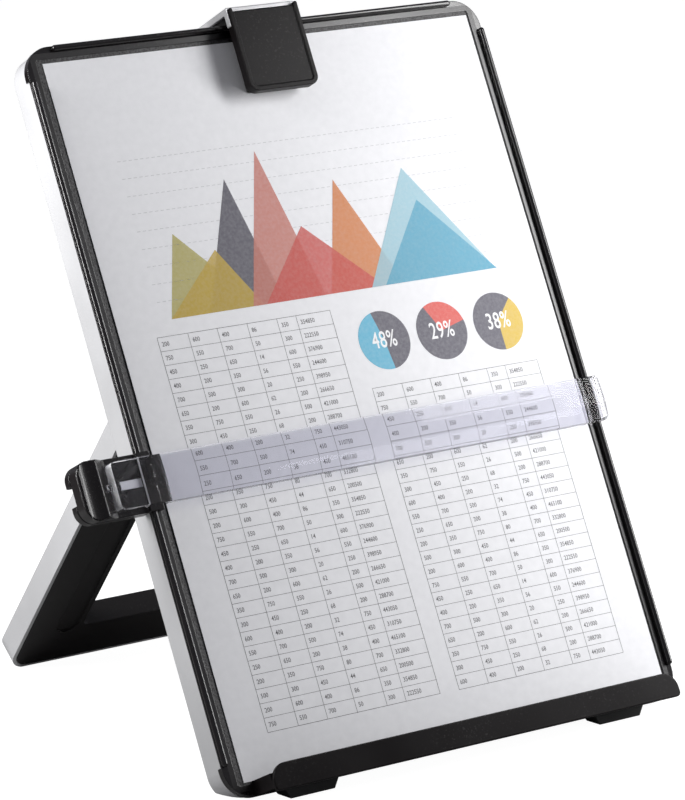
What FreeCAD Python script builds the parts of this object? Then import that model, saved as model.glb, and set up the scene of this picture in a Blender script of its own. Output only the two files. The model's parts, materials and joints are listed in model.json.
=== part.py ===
"""Copy holder with a line guide: a tilted board that carries one sheet, a leg that
folds into its back, a sprung clip on its top edge and a clear bar that slides down
the side rails to mark a line. Millimetres, +Z up, standing on Z = 0.

Every piece is drawn in the board's own frame: x across, y up the board from its
bottom edge, z out of the panel towards the reader. The whole is then stood up.
"""

import FreeCAD
import Part

import math
import os

# Sheet, from which the board takes its size
sheet_width = 210.0
sheet_height = 297.0
sheet_thickness = 0.3
sheet_side_shift = 1.0

# Board
board_side_margin = 7.0
board_top_margin = 7.0
ledge_height = 6.0
board_width = sheet_width + 2 * board_side_margin
board_height = ledge_height + sheet_height + board_top_margin
board_corner_radius = 12.0
panel_thickness = 2.7
rim_width = 5.2
rim_step = 0.4
rim_blend = 0.25
rim_inner_radius = 1.2
fit_gap = 0.1
overrun = 5.0

# Rails on the board's edge
bead_radius = 1.25
bead_lift = 1.4
bead_neck_width = 1.2
rail_foot = 0.4
rail_corner_gap = 1.5

# Back shell
shell_inset = 0.5
shell_wall = 1.8
shell_depth = 13.8
shell_back_blend = 1.4
rib_thickness = 1.6
rib_gap = 0.5

# Leg
hinge_height = 158.0
leg_length = 155.3
leg_open_angle = 65.9
leg_front_offset = 7.4
leg_thickness = 10.8
leg_gap = 0.3
leg_side_gap = 0.5
leg_wall = 1.6
leg_corner_radius = 9.6
leg_arm_width = 28.7
leg_foot_bar = 23.0
leg_head_bar = 22.0
leg_opening_radius = 3.0
liner_plate = 2.4
leg_channel_depth = 0.9
leg_channel_width = 11.0
leg_channel_inset = 2.4
leg_trim = 0.4
stop_gap = 0.08
hinge_pin_radius = 1.25
hinge_pin_length = 7.4
hinge_pin_sink = 0.6
running_gap = 0.05
hinge_boss_radius = 2.9

# Ledge and feet
ledge_width = 201.0
ledge_depth = 16.4
lip_thickness = 1.6
lip_rise = 3.1
lip_drop = 1.4
lip_corner_radius = 7.0
lip_edge_blend = 0.5
ledge_skin = 1.8
ledge_rib_width = 9.0
ledge_screw_shares = (0.15, 0.4)
foot_length = 26.0
foot_end_distance = 24.0
foot_centre = ledge_width / 2 - foot_end_distance
foot_drop = 4.3
foot_front = 3.0
foot_top_front = 4.6
foot_back = 2.2
foot_taper = 2.4
foot_blend = 0.5
floor_clearance = 0.5

# Screws
case_screw_radius = 1.4
case_screw_head_radius = 2.6
case_screw_head_height = 1.1
case_boss_radius = 3.6
case_screw_bite = 6.5
case_screw_margin = 13.0
small_screw_radius = 0.9
small_screw_head_radius = 1.8
small_screw_head_height = 0.9
small_screw_bite = 4.0
small_boss_radius = 2.5
driver_slot_width = 0.6
driver_slot_depth = 0.5

# Clip
clip_width = 33.6
clip_reach = 24.5
clip_top_rise = 3.3
clip_ear_rise = 1.5
clip_ear_width = 1.6
clip_front = 9.0
clip_plate = 1.4
clip_flange_wall = 1.6
clip_flange_back = 5.2
clip_tip_inset = 2.0
clip_rim_width = 2.0
clip_rim_rise = 0.6
clip_corner_radius = 4.0
lever_back = 22.0
lever_skin = 1.1
lever_plate = 2.1
lever_gap = 2.5
lever_corner_radius = 4.0
lever_skirt_lift = 0.5
lever_lug_back = 4.6
lever_lug_drop = 2.4
pivot_lift = 5.0
pivot_pin_radius = 0.9
knuckle_radius = 2.1
bracket_width = 15.0
bracket_knuckle_width = 3.0
bracket_foot_top = 3.0
bracket_foot_bottom = 6.4
bracket_foot_thickness = 2.3
pad_thickness = 0.8
pad_height = 5.0
pad_width = 27.0
pad_gap = 0.05
spring_wire = 0.6
spring_radius = 1.5
spring_pitch = 1.3
spring_turns = 4
spring_leg = 5.8

# Line guide
guide_height = 128.8
slider_left = 143.0
slider_right = 103.8
slider_wing_right = 107.0
slider_height = 24.0
slider_corner_radius = 6.0
slider_front_face = 6.4
slider_split = 0.2
slider_split_gap = 0.3
slider_back_depth = 5.0
slider_back_right = 112.5
slider_edge_blend = 1.2
slider_over_board = 0.65
grip_scoop_radius = 9.0
grip_scoop_depth = 0.9
grip_ridge = 9.7
grip_width = 15.2
notch_height = 7.6
notch_depth = 3.2
insert_height = 7.2
insert_thickness = 2.2
insert_gap = 0.15
window_width = 10.1
window_height = 3.8
window_offset = 3.8
slider_screw_side = 6.3
bead_grip_gap = 0.1
bar_height = 19.4
bar_seat = 3.9
bar_head_length = 18.2
bar_head_top = 7.2
bar_head_seat = 2.2
bar_head_foot_length = 14.2
bar_edge_thickness = 2.2
bar_middle_thickness = 3.1
bar_facet_share = 0.36
bar_belly = 1.3
bar_belly_edge = 2.0
bar_belly_start = 0.6
bar_belly_end = 3.6
bar_hook_wall = 1.2
bar_hook_gap = 0.35
bar_hook_drop = 0.3
bar_end_radius = 2.4
bar_tab_height = 3.0
bar_tab_length = 2.0
bar_tab_top = 4.4

# Sizes that follow
half_width = board_width / 2
shell_half = half_width - shell_inset
shell_inner_half = shell_half - shell_wall
shell_bottom = shell_inset
shell_top = board_height - shell_inset
shell_radius = board_corner_radius - shell_inset
shell_inner_radius = shell_radius - shell_wall
rail_ends = board_corner_radius + rail_corner_gap
bead_inset = bead_radius
hinge_depth = panel_thickness + leg_gap + leg_front_offset
leg_half = shell_inner_half - leg_side_gap
leg_end = hinge_height - leg_length
leg_front_z = -(panel_thickness + leg_gap)
leg_back_z = leg_front_z - leg_thickness
leg_back_offset = leg_thickness - leg_front_offset
opening_half = leg_half - leg_arm_width
opening_bottom = leg_end + leg_foot_bar
opening_top = hinge_height - leg_head_bar
shell_back_inner = -(shell_depth - shell_wall)
pivot_y = board_height + running_gap + spring_wire / 2 + spring_radius
lever_under = board_height + lever_gap
sheet_bottom = ledge_height
sheet_top = ledge_height + sheet_height


def vec(x, y, z):
    return FreeCAD.Vector(x, y, z)


X_AXIS = vec(1, 0, 0)
Y_AXIS = vec(0, 1, 0)
Z_AXIS = vec(0, 0, 1)


def turned(point, angle):
    """A (y, z) pair turned about x by an angle in degrees."""
    a = math.radians(angle)
    y, z = point
    return (y * math.cos(a) - z * math.sin(a), y * math.sin(a) + z * math.cos(a))


# The open leg, and the floor line through its foot and the front feet
leg_way = turned((-1, 0), leg_open_angle)
leg_face = turned((0, 1), leg_open_angle)
leg_tip = (
    hinge_height + leg_length * leg_way[0] + leg_front_offset * leg_face[0],
    -hinge_depth + leg_length * leg_way[1] + leg_front_offset * leg_face[1],
)


def tilt_for(tip):
    """The board's lean from upright when its front feet and a point behind stand level."""
    return math.degrees(math.atan2(tip[0] + foot_drop, foot_front - tip[1]))


first_lift = turned((leg_trim, 0), tilt_for(leg_tip))
contact = (leg_tip[0] + first_lift[0], leg_tip[1] + first_lift[1])
tilt = tilt_for(contact)
floor_up = turned((1, 0), tilt)
floor_back = turned((0, -1), tilt)


def box(x0, x1, y0, y1, z0, z1):
    return Part.makeBox(x1 - x0, y1 - y0, z1 - z0, vec(x0, y0, z0))


def polygon(points):
    wire = Part.makePolygon([*points, points[0]])
    return Part.Face(wire)


def along_x(points, x0, x1):
    """A solid from a closed outline of (y, z) points, between two x values."""
    face = polygon([vec(x0, y, z) for y, z in points])
    return face.extrude(vec(x1 - x0, 0, 0))


def along_y(points, y0, y1):
    """A solid from a closed outline of (x, z) points, between two y values."""
    face = polygon([vec(x, y0, z) for x, z in points])
    return face.extrude(vec(0, y1 - y0, 0))


def rod_x(radius, x0, x1, y, z):
    return Part.makeCylinder(radius, x1 - x0, vec(x0, y, z), X_AXIS)


def rod_y(radius, y0, y1, x, z):
    return Part.makeCylinder(radius, y1 - y0, vec(x, y0, z), Y_AXIS)


def rod_z(radius, z0, z1, x, y):
    return Part.makeCylinder(radius, z1 - z0, vec(x, y, z0), Z_AXIS)


def plate(x0, x1, y0, y1, z0, z1, radii):
    """A plate with its four corner radii given from bottom left, anticlockwise."""
    corners = [(x0, y0, 1, 1), (x1, y0, -1, 1), (x1, y1, -1, -1), (x0, y1, 1, -1)]
    solid = box(x0, x1, y0, y1, z0, z1)
    for (cx, cy, sx, sy), radius in zip(corners, radii):
        if radius > 0:
            centre_x = cx + sx * radius
            centre_y = cy + sy * radius
            square = box(
                min(cx, centre_x), max(cx, centre_x), min(cy, centre_y), max(cy, centre_y), z0, z1
            )
            solid = solid.cut(square.cut(rod_z(radius, z0, z1, centre_x, centre_y)))
    return solid.removeSplitter()


def union(shapes):
    first, *rest = shapes
    return first.fuse(rest).removeSplitter() if rest else first


def blended(solid, radius, wanted):
    """Rounds the edges that a test on their middle point and box picks."""
    edges = [e for e in solid.Edges if wanted(e)]
    return solid.makeFillet(radius, edges) if edges else solid


def floor_space(lift, x_reach):
    """Everything lower than a plane parallel to the floor, a lift above it."""
    far = 2 * (board_height + leg_length)
    base_y = -foot_drop + lift * floor_up[0]
    base_z = foot_front + lift * floor_up[1]
    front = (base_y - far * floor_back[0], base_z - far * floor_back[1])
    back = (base_y + far * floor_back[0], base_z + far * floor_back[1])
    low_back = (back[0] - far * floor_up[0], back[1] - far * floor_up[1])
    low_front = (front[0] - far * floor_up[0], front[1] - far * floor_up[1])
    return along_x([front, back, low_back, low_front], -x_reach, x_reach)


def bead_run(length, centre):
    """A rail along y: a round bead with ball ends on a narrow neck."""
    low = centre - length / 2 + bead_radius
    high = centre + length / 2 - bead_radius
    rod = rod_y(bead_radius, low, high, 0, bead_lift)
    ends = [Part.makeSphere(bead_radius, vec(0, y, bead_lift)) for y in (low, high)]
    neck = box(-bead_neck_width / 2, bead_neck_width / 2, low, high, -rail_foot, bead_lift)
    return union([rod, *ends, neck])


case_screw_places = [
    (side * (shell_inner_half - case_screw_margin), y)
    for side in (-1, 1)
    for y in (
        hinge_height + leg_front_offset + rib_thickness + case_screw_margin,
        shell_top - shell_wall - case_screw_margin,
    )
]
ledge_screw_places = [
    side * share * ledge_width for side in (-1, 1) for share in ledge_screw_shares
]
ledge_screw_height = ledge_height / 2
bracket_screw_places = [-bracket_width / 4, bracket_width / 4]
bracket_screw_height = board_height - (bracket_foot_top + bracket_foot_bottom) / 2
leg_screw_places = [
    (side * (leg_half - leg_arm_width / 2 + leg_wall), y)
    for side in (-1, 1)
    for y in (leg_end + leg_foot_bar / 2, (opening_bottom + opening_top) / 2, opening_top)
]
slider_screw_places = [
    (-slider_left + grip_width / 2, guide_height + side * slider_screw_side)
    for side in (-1, 1)
]


def countersunk(radius, head_radius, head_height, z_head, z_tip, x, y, grow):
    """A screw whose flat head faces -z, or with grow its seat and bore."""
    shank = rod_z(radius + grow, z_head, z_tip, x, y)
    head = Part.makeCone(
        head_radius + grow, radius + grow, head_height, vec(x, y, z_head), Z_AXIS
    )
    if grow:
        return union([shank, head])
    slot = box(
        x - head_radius, x + head_radius, y - driver_slot_width / 2, y + driver_slot_width / 2,
        z_head, z_head + driver_slot_depth,
    )
    cross = slot.copy()
    cross.rotate(vec(x, y, z_head), Z_AXIS, 90)
    return union([shank, head]).cut(union([slot, cross]))


def front_board():
    outline = [board_corner_radius] * 4
    inner_radius = shell_inner_radius - fit_gap
    inner = shell_inner_half - fit_gap
    core = plate(
        -inner, inner, shell_bottom + shell_wall + fit_gap, shell_top - shell_wall - fit_gap,
        -panel_thickness, 0, [inner_radius] * 4,
    )
    skin = plate(-half_width, half_width, 0, board_height, -rail_foot, 0, outline)
    whole = plate(-half_width, half_width, 0, board_height, -panel_thickness, 0, outline)
    bottom_zone = box(-half_width, half_width, 0, rail_ends, -panel_thickness, 0)
    corner_zones = [
        box(
            min(side * half_width, side * (half_width - rail_ends)),
            max(side * half_width, side * (half_width - rail_ends)),
            board_height - rail_ends, board_height, -panel_thickness, 0,
        )
        for side in (-1, 1)
    ]
    skirts = whole.common(union([bottom_zone, *corner_zones]))
    rim = plate(-half_width, half_width, 0, board_height, 0, rim_step, outline).cut(
        plate(
            -half_width + rim_width, half_width - rim_width, rim_width,
            board_height - rim_width, -overrun, overrun, [rim_inner_radius] * 4,
        )
    )
    body = union([core, skin, skirts, rim])
    body = blended(
        body, rim_blend,
        lambda e: abs(e.BoundBox.ZMin - rim_step) < rim_blend / 2
        and abs(e.BoundBox.ZMax - rim_step) < rim_blend / 2,
    )
    side_length = board_height - 2 * rail_ends
    top_length = board_width - 2 * rail_ends
    beads = []
    for side in (-1, 1):
        bead = bead_run(side_length, board_height / 2)
        bead.translate(vec(side * (half_width - bead_inset), 0, 0))
        beads.append(bead)
    top_bead = bead_run(top_length, 0)
    top_bead.rotate(vec(0, 0, 0), Z_AXIS, 90)
    top_bead.translate(vec(0, board_height - bead_inset, 0))
    bosses = [
        rod_z(case_boss_radius, shell_back_inner + fit_gap, -panel_thickness, x, y)
        for x, y in case_screw_places
    ]
    body = union([body, *beads, top_bead, *bosses])
    bores = [
        rod_z(case_screw_radius + fit_gap / 2, -shell_depth,
              shell_back_inner + case_screw_bite + fit_gap, x, y)
        for x, y in case_screw_places
    ]
    seats = [
        countersunk(
            small_screw_radius, small_screw_head_radius, small_screw_head_height,
            -panel_thickness, rim_step + overrun, x, ledge_screw_height, fit_gap / 2,
        )
        for x in ledge_screw_places
    ] + [
        countersunk(
            small_screw_radius, small_screw_head_radius, small_screw_head_height,
            -panel_thickness, rim_step + overrun, x, bracket_screw_height, fit_gap / 2,
        )
        for x in bracket_screw_places
    ]
    bracket_seat = box(
        -bracket_width / 2 - fit_gap, bracket_width / 2 + fit_gap,
        board_height - bracket_foot_bottom - fit_gap, board_height - bracket_foot_top + fit_gap,
        0, overrun,
    )
    return body.cut(union([*bores, *seats, bracket_seat]))


def back_shell():
    outer = plate(
        -shell_half, shell_half, shell_bottom, shell_top, -shell_depth, -rail_foot,
        [shell_radius] * 4,
    )
    outer = blended(
        outer, shell_back_blend,
        lambda e: abs(e.BoundBox.ZMax + shell_depth) < shell_back_blend / 2,
    )
    hollow = plate(
        -shell_inner_half, shell_inner_half, shell_bottom + shell_wall, shell_top - shell_wall,
        shell_back_inner, overrun, [shell_inner_radius] * 4,
    )
    shell = outer.cut(hollow)
    # The lower half is open at the back, up to a slanted edge that the open leg stops on.
    stop_offset = leg_back_offset + stop_gap
    edge = turned((0, -stop_offset), leg_open_angle)
    face_point = (hinge_height + edge[0], -hinge_depth + edge[1])
    run = shell_depth + overrun
    inner_end = (face_point[0] + run * leg_way[0], face_point[1] + run * leg_way[1])
    outer_end = (face_point[0] - run * leg_way[0], face_point[1] - run * leg_way[1])
    window = along_x(
        [inner_end, outer_end, (-overrun, outer_end[1]), (-overrun, inner_end[1])],
        -shell_inner_half, shell_inner_half,
    )
    lower = plate(
        -shell_inner_half, shell_inner_half, shell_bottom + shell_wall,
        shell_top - shell_wall, -shell_depth - overrun, overrun,
        [shell_inner_radius, shell_inner_radius, 0, 0],
    )
    behind = box(
        -shell_half, shell_half, -overrun, board_height + overrun,
        -shell_depth - overrun, -hinge_depth + leg_back_offset / 2,
    )
    shell = shell.cut(window.common(lower).common(behind))
    rib_bottom = hinge_height + leg_front_offset + rib_gap
    rib = box(
        -shell_inner_half, shell_inner_half, rib_bottom, rib_bottom + rib_thickness,
        shell_back_inner, -panel_thickness - fit_gap,
    )
    bosses = []
    for side in (-1, 1):
        x_face = side * shell_inner_half
        x_in = side * (shell_inner_half - leg_side_gap + leg_gap / 2)
        bosses.append(
            rod_x(hinge_boss_radius, min(x_face, x_in), max(x_face, x_in), hinge_height,
                  -hinge_depth)
        )
    shell = union([shell, rib, *bosses])
    corner = board_height - rail_ends - fit_gap
    cuts = [
        box(-half_width, half_width, -overrun, rail_ends + fit_gap, -panel_thickness, overrun),
        box(-half_width, -half_width + rail_ends + fit_gap, corner, board_height,
            -panel_thickness, overrun),
        box(half_width - rail_ends - fit_gap, half_width, corner, board_height,
            -panel_thickness, overrun),
        floor_space(floor_clearance, half_width),
    ]
    for side in (-1, 1):
        x0 = side * (shell_inner_half - leg_side_gap - overrun)
        x1 = side * (shell_half - hinge_pin_sink + fit_gap)
        cuts.append(
            rod_x(hinge_pin_radius + running_gap, min(x0, x1), max(x0, x1), hinge_height,
                  -hinge_depth)
        )
    for x, y in case_screw_places:
        cuts.append(rod_z(case_screw_radius + fit_gap, -shell_depth - overrun, 0, x, y))
        cuts.append(
            rod_z(case_screw_head_radius + fit_gap, -shell_depth - overrun,
                  -shell_depth + case_screw_head_height, x, y)
        )
    return shell.cut(union(cuts))


def case_screw(x, y):
    head = rod_z(case_screw_head_radius, -shell_depth, -shell_depth + case_screw_head_height, x, y)
    shank = rod_z(
        case_screw_radius, -shell_depth + case_screw_head_height,
        shell_back_inner + case_screw_bite, x, y,
    )
    slot = box(
        x - case_screw_radius, x + case_screw_radius, y - driver_slot_width / 2,
        y + driver_slot_width / 2, -shell_depth - overrun, -shell_depth + driver_slot_depth,
    )
    cross = slot.copy()
    cross.rotate(vec(x, y, 0), Z_AXIS, 90)
    return union([head, shank]).cut(union([slot, cross]))


def ledge():
    half = ledge_width / 2
    back = rim_step
    shelf = box(-half, half, 0, ledge_height, back, ledge_depth - lip_thickness)
    pockets = []
    stations = [-half, *sorted(ledge_screw_places), half]
    for left, right in zip(stations[:-1], stations[1:]):
        x0 = left + (ledge_skin if left == -half else ledge_rib_width / 2)
        x1 = right - (ledge_skin if right == half else ledge_rib_width / 2)
        pockets.append(
            box(x0, x1, -overrun, ledge_height - ledge_skin, foot_top_front + ledge_skin,
                ledge_depth - lip_thickness - ledge_skin)
        )
    lip = plate(
        -half, half, -lip_drop, ledge_height + lip_rise, ledge_depth - lip_thickness,
        ledge_depth, [ledge_skin, ledge_skin, lip_corner_radius, lip_corner_radius],
    )
    lip = blended(
        lip, lip_edge_blend,
        lambda e: abs(e.BoundBox.ZMin - ledge_depth) < lip_edge_blend / 2,
    )
    body = union([shelf.cut(union(pockets)), lip])
    bores = [
        rod_z(small_screw_radius + fit_gap / 2, -overrun, rim_step + small_screw_bite + fit_gap, x,
              ledge_screw_height)
        for x in ledge_screw_places
    ]
    return body.cut(union(bores))


def small_screw(x, y, z_head):
    return countersunk(
        small_screw_radius, small_screw_head_radius, small_screw_head_height,
        z_head, z_head + panel_thickness + rim_step + small_screw_bite, x, y, 0,
    )


def front_foot(side):
    """A rubber wedge under the ledge whose sole lies along the floor."""
    back_run = (foot_front + foot_back) / floor_back[1] * floor_back[0]
    sole_back = (-foot_drop - back_run, -foot_back)
    outline = [(0, foot_top_front), (0, -foot_back), sole_back, (-foot_drop, foot_front)]
    solid = along_x(outline, -foot_length / 2, foot_length / 2)
    for end in (-1, 1):
        wedge = Part.Face(
            Part.makePolygon([
                vec(end * foot_length / 2, 0, -foot_back - overrun),
                vec(end * (foot_length / 2 - foot_taper), -foot_drop, -foot_back - overrun),
                vec(end * foot_length, -foot_drop - overrun, -foot_back - overrun),
                vec(end * foot_length, 0, -foot_back - overrun),
                vec(end * foot_length / 2, 0, -foot_back - overrun),
            ])
        ).extrude(vec(0, 0, foot_top_front + foot_back + 2 * overrun))
        solid = solid.cut(wedge)
    solid = blended(
        solid, foot_blend,
        lambda e: e.BoundBox.YLength > foot_drop / 2,
    )
    solid.translate(vec(side * foot_centre, 0, 0))
    return solid


def leg_profile(x0, x1, shrink):
    """The leg's side view, folded, with its head rounded about the hinge, as a bar."""
    front = leg_front_z - shrink
    back = leg_back_z + shrink
    end = leg_end + shrink
    hub = hinge_height
    small = leg_back_offset - shrink - leg_gap
    large = leg_front_offset - shrink
    body = box(x0, x1, end, hub, back, front)
    round_front = rod_x(large, x0, x1, hub, -hinge_depth).common(
        box(x0, x1, hub, hub + large, -hinge_depth, front)
    )
    round_back = rod_x(small, x0, x1, hub, -hinge_depth).common(
        box(x0, x1, hub, hub + large, back, -hinge_depth)
    )
    return union([body, round_front, round_back])


def leg_outline(x_half, shrink, z0, z1):
    radius = leg_corner_radius - shrink
    return plate(
        -x_half, x_half, leg_end + shrink, hinge_height + leg_front_offset + overrun, z0, z1,
        [radius, radius, 0, 0],
    )


def leg_opening(grow):
    return plate(
        -opening_half - grow, opening_half + grow, opening_bottom - grow, opening_top + grow,
        leg_back_z - overrun, leg_front_z + overrun, [leg_opening_radius + grow] * 4,
    )


def hinge_bores():
    cuts = []
    for side in (-1, 1):
        x0 = side * (leg_half + overrun)
        x1 = side * (shell_half - hinge_pin_sink - hinge_pin_length - fit_gap)
        cuts.append(
            rod_x(hinge_pin_radius + running_gap, min(x0, x1), max(x0, x1), hinge_height,
                  -hinge_depth)
        )
    return cuts


def leg_shell():
    """The silver outside of the leg: sides, end and back."""
    blank = leg_profile(-leg_half, leg_half, 0).common(
        leg_outline(leg_half, 0, leg_back_z - overrun, leg_front_z + overrun)
    )
    inner = leg_outline(
        leg_half - leg_wall, leg_wall, leg_back_z + leg_wall, leg_front_z + overrun
    )
    shell = blank.cut(inner)
    shell = shell.cut(leg_opening(leg_wall + fit_gap))
    seats = [
        countersunk(
            small_screw_radius, small_screw_head_radius, small_screw_head_height,
            leg_back_z, leg_back_z + leg_wall + overrun, x, y, fit_gap / 2,
        )
        for x, y in leg_screw_places
    ]
    return shell.cut(union([*seats, *hinge_bores(), floor_under_leg()]))


def leg_liner():
    """The black face of the leg, with the walls of its opening and its hinge bar."""
    inset = leg_wall + fit_gap
    blank = leg_profile(-leg_half + inset, leg_half - inset, 0).common(
        leg_outline(leg_half - inset, inset, leg_back_z + inset, leg_front_z + overrun)
    )
    frame_wall = leg_opening(leg_wall).cut(leg_opening(0)).common(
        box(-leg_half, leg_half, 0, board_height, leg_back_z, leg_front_z)
    )
    cavity = leg_outline(
        leg_half - 2 * leg_wall, 2 * leg_wall, leg_back_z, leg_front_z - liner_plate
    )
    below_hinge = box(
        -leg_half, leg_half, 0, opening_top + leg_wall + leg_channel_width / 2,
        leg_back_z - overrun, leg_front_z,
    )
    cavity = cavity.common(below_hinge).cut(leg_opening(2 * leg_wall))
    bosses = [
        rod_z(small_boss_radius, leg_back_z + inset, leg_front_z - liner_plate, x, y)
        for x, y in leg_screw_places
    ]
    body = union([blank.cut(cavity), frame_wall, *bosses]).cut(leg_opening(0))
    # A shallow channel runs down the inner half of each arm.
    channels = []
    for side in (-1, 1):
        near = opening_half + leg_channel_inset
        far = near + leg_channel_width
        channels.append(
            plate(
                min(side * near, side * far), max(side * near, side * far),
                opening_bottom - leg_channel_inset, opening_top,
                leg_front_z - leg_channel_depth, leg_front_z + overrun,
                [leg_channel_width / 2 - fit_gap] * 4,
            )
        )
    bores = [
        rod_z(small_screw_radius + fit_gap / 2, leg_back_z,
              leg_back_z + leg_wall + small_screw_bite + fit_gap, x, y)
        for x, y in leg_screw_places
    ]
    return body.cut(union([*channels, *bores, *hinge_bores(), floor_under_leg()]))


def floor_under_leg():
    """The space under the floor, turned with the leg to where it lies folded."""
    space = floor_space(0, leg_half + overrun)
    space.rotate(vec(0, hinge_height, -hinge_depth), X_AXIS, -leg_open_angle)
    return space


def leg_screw(x, y):
    return countersunk(
        small_screw_radius, small_screw_head_radius, small_screw_head_height,
        leg_back_z, leg_back_z + leg_wall + small_screw_bite, x, y, 0,
    )


def hinge_pin(side):
    x1 = side * (shell_half - hinge_pin_sink)
    x0 = side * (shell_half - hinge_pin_sink - hinge_pin_length)
    return rod_x(hinge_pin_radius, min(x0, x1), max(x0, x1), hinge_height, -hinge_depth)


def opened(solid):
    """A piece drawn on the folded leg, swung out to where the leg stands open."""
    solid.rotate(vec(0, hinge_height, -hinge_depth), X_AXIS, leg_open_angle)
    return solid


def clip_bracket():
    """A foot screwed to the board above the sheet, with two knuckles for the pin."""
    foot_low = board_height - bracket_foot_bottom
    foot_high = board_height - bracket_foot_top
    foot = box(-bracket_width / 2, bracket_width / 2, foot_low, foot_high, 0,
               bracket_foot_thickness)
    knuckles = []
    for side in (-1, 1):
        outer = side * bracket_width / 2
        inner = side * (bracket_width / 2 - bracket_knuckle_width)
        x0, x1 = min(outer, inner), max(outer, inner)
        arm = along_x(
            [
                (foot_low, 0), (foot_high, 0), (foot_high, bracket_foot_thickness),
                (pivot_y, pivot_lift - knuckle_radius), (pivot_y, pivot_lift),
                (pivot_y - knuckle_radius, pivot_lift), (foot_low, bracket_foot_thickness),
            ],
            x0, x1,
        )
        knuckles.append(union([arm, rod_x(knuckle_radius, x0, x1, pivot_y, pivot_lift)]))
    body = union([foot, *knuckles])
    rail = union([
        box(-bracket_width, bracket_width, board_height - 2 * bead_radius - fit_gap,
            board_height + fit_gap, -overrun, bead_lift),
        rod_x(bead_radius + 2 * fit_gap, -bracket_width, bracket_width,
              board_height - bead_inset, bead_lift),
    ])
    bores = [
        rod_z(small_screw_radius + fit_gap / 2, -overrun, bracket_foot_thickness + overrun, x,
              bracket_screw_height)
        for x in bracket_screw_places
    ]
    pin_bore = rod_x(pivot_pin_radius + running_gap, -bracket_width, bracket_width, pivot_y,
                     pivot_lift)
    return body.cut(union([rail, *bores, pin_bore]))


def clip_jaw():
    """The black jaw in front and the black plate of the lever on top, one moulding."""
    half = clip_width / 2
    tip = sheet_top - clip_reach
    top = board_height + clip_top_rise
    radii = [clip_corner_radius, clip_corner_radius, 0, 0]
    block = plate(-half, half, tip, top, clip_flange_back, clip_front, radii)
    hollow = plate(
        -half + clip_flange_wall, half - clip_flange_wall, tip + clip_flange_wall,
        top + overrun, -overrun, clip_front - clip_plate,
        [clip_corner_radius - clip_flange_wall] * 2 + [0, 0],
    )
    jaw = block.cut(hollow)
    rim = plate(-half, half, tip, top, clip_front, clip_front + clip_rim_rise, radii).cut(
        plate(
            -half + clip_rim_width, half - clip_rim_width, tip + clip_rim_width,
            top + overrun, 0, clip_front + overrun,
            [clip_corner_radius - clip_rim_width] * 2 + [0, 0],
        )
    )
    ear_radius = (clip_ear_width - fit_gap) / 2
    ears = [
        plate(
            min(side * half, side * (half - clip_ear_width)),
            max(side * half, side * (half - clip_ear_width)),
            top - clip_flange_wall, top + clip_ear_rise, clip_front - clip_plate,
            clip_front + clip_rim_rise, [0, 0, ear_radius, ear_radius],
        )
        for side in (-1, 1)
    ]
    tip_wall = box(
        -half + clip_corner_radius, half - clip_corner_radius,
        tip + clip_tip_inset, tip + clip_tip_inset + clip_flange_wall + pad_height / 2,
        sheet_thickness + pad_gap + pad_thickness, clip_front,
    )
    side_lugs = []
    for side in (-1, 1):
        outer = side * (half - clip_flange_wall)
        inner = side * (half - 2 * clip_flange_wall)
        x0, x1 = min(outer, inner), max(outer, inner)
        side_lugs.append(
            along_x(
                [
                    (pivot_y - 2 * knuckle_radius, clip_front),
                    (pivot_y - knuckle_radius, pivot_lift - knuckle_radius),
                    (lever_under, pivot_lift - knuckle_radius),
                    (lever_under, clip_front),
                ],
                x0, x1,
            )
        )
    inset = clip_flange_wall + fit_gap
    lever = plate(
        -half + inset, half - inset, -clip_front, lever_back - inset, lever_under,
        lever_under + lever_plate,
        [0, 0, lever_corner_radius - inset, lever_corner_radius - inset],
    )
    lever.Placement = lever_placement()
    lever = lever.cut(
        box(-half, half, top, top + overrun, clip_front - clip_plate - inset - fit_gap,
            clip_front + overrun)
    )
    lug_room = lever_lug_spaces(fit_gap, clip_front - clip_plate)
    body = union([jaw.cut(union(lug_room)), rim, *ears, tip_wall, *side_lugs, lever])
    spring_end = spring_place(spring_steps())
    groove = box(
        spring_end.x - spring_wire, spring_end.x + spring_wire, lever_under - fit_gap,
        lever_under + lever_plate, pivot_lift - spring_leg - spring_wire, clip_front - clip_plate,
    )
    pin_bore = rod_x(pivot_pin_radius + running_gap, -clip_width, clip_width, pivot_y,
                     pivot_lift)
    knuckle_room = rod_x(
        knuckle_radius + 2 * fit_gap, -bracket_width / 2 - fit_gap, bracket_width / 2 + fit_gap,
        pivot_y, pivot_lift,
    )
    coil_room = rod_x(
        spring_radius + spring_wire / 2 + fit_gap, -bracket_width / 2, bracket_width / 2,
        pivot_y, pivot_lift,
    )
    return body.cut(union([groove, pin_bore, knuckle_room, coil_room]))


def lever_placement():
    """Takes a plate drawn on x and y, with its height in z, to the lever's place."""
    return FreeCAD.Placement(vec(0, 0, 0), FreeCAD.Rotation(X_AXIS, -90))


def lever_lug_spaces(grow, front):
    """The two places beside the pivot that the cover's side lugs take."""
    spaces = []
    for side in (-1, 1):
        inner = side * (clip_width / 2 - clip_flange_wall)
        outer = side * (clip_width / 2 + grow)
        spaces.append(
            box(min(inner, outer), max(inner, outer), board_height - lever_lug_drop - grow,
                lever_under + lever_plate, lever_lug_back - grow, front)
        )
    return spaces


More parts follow.
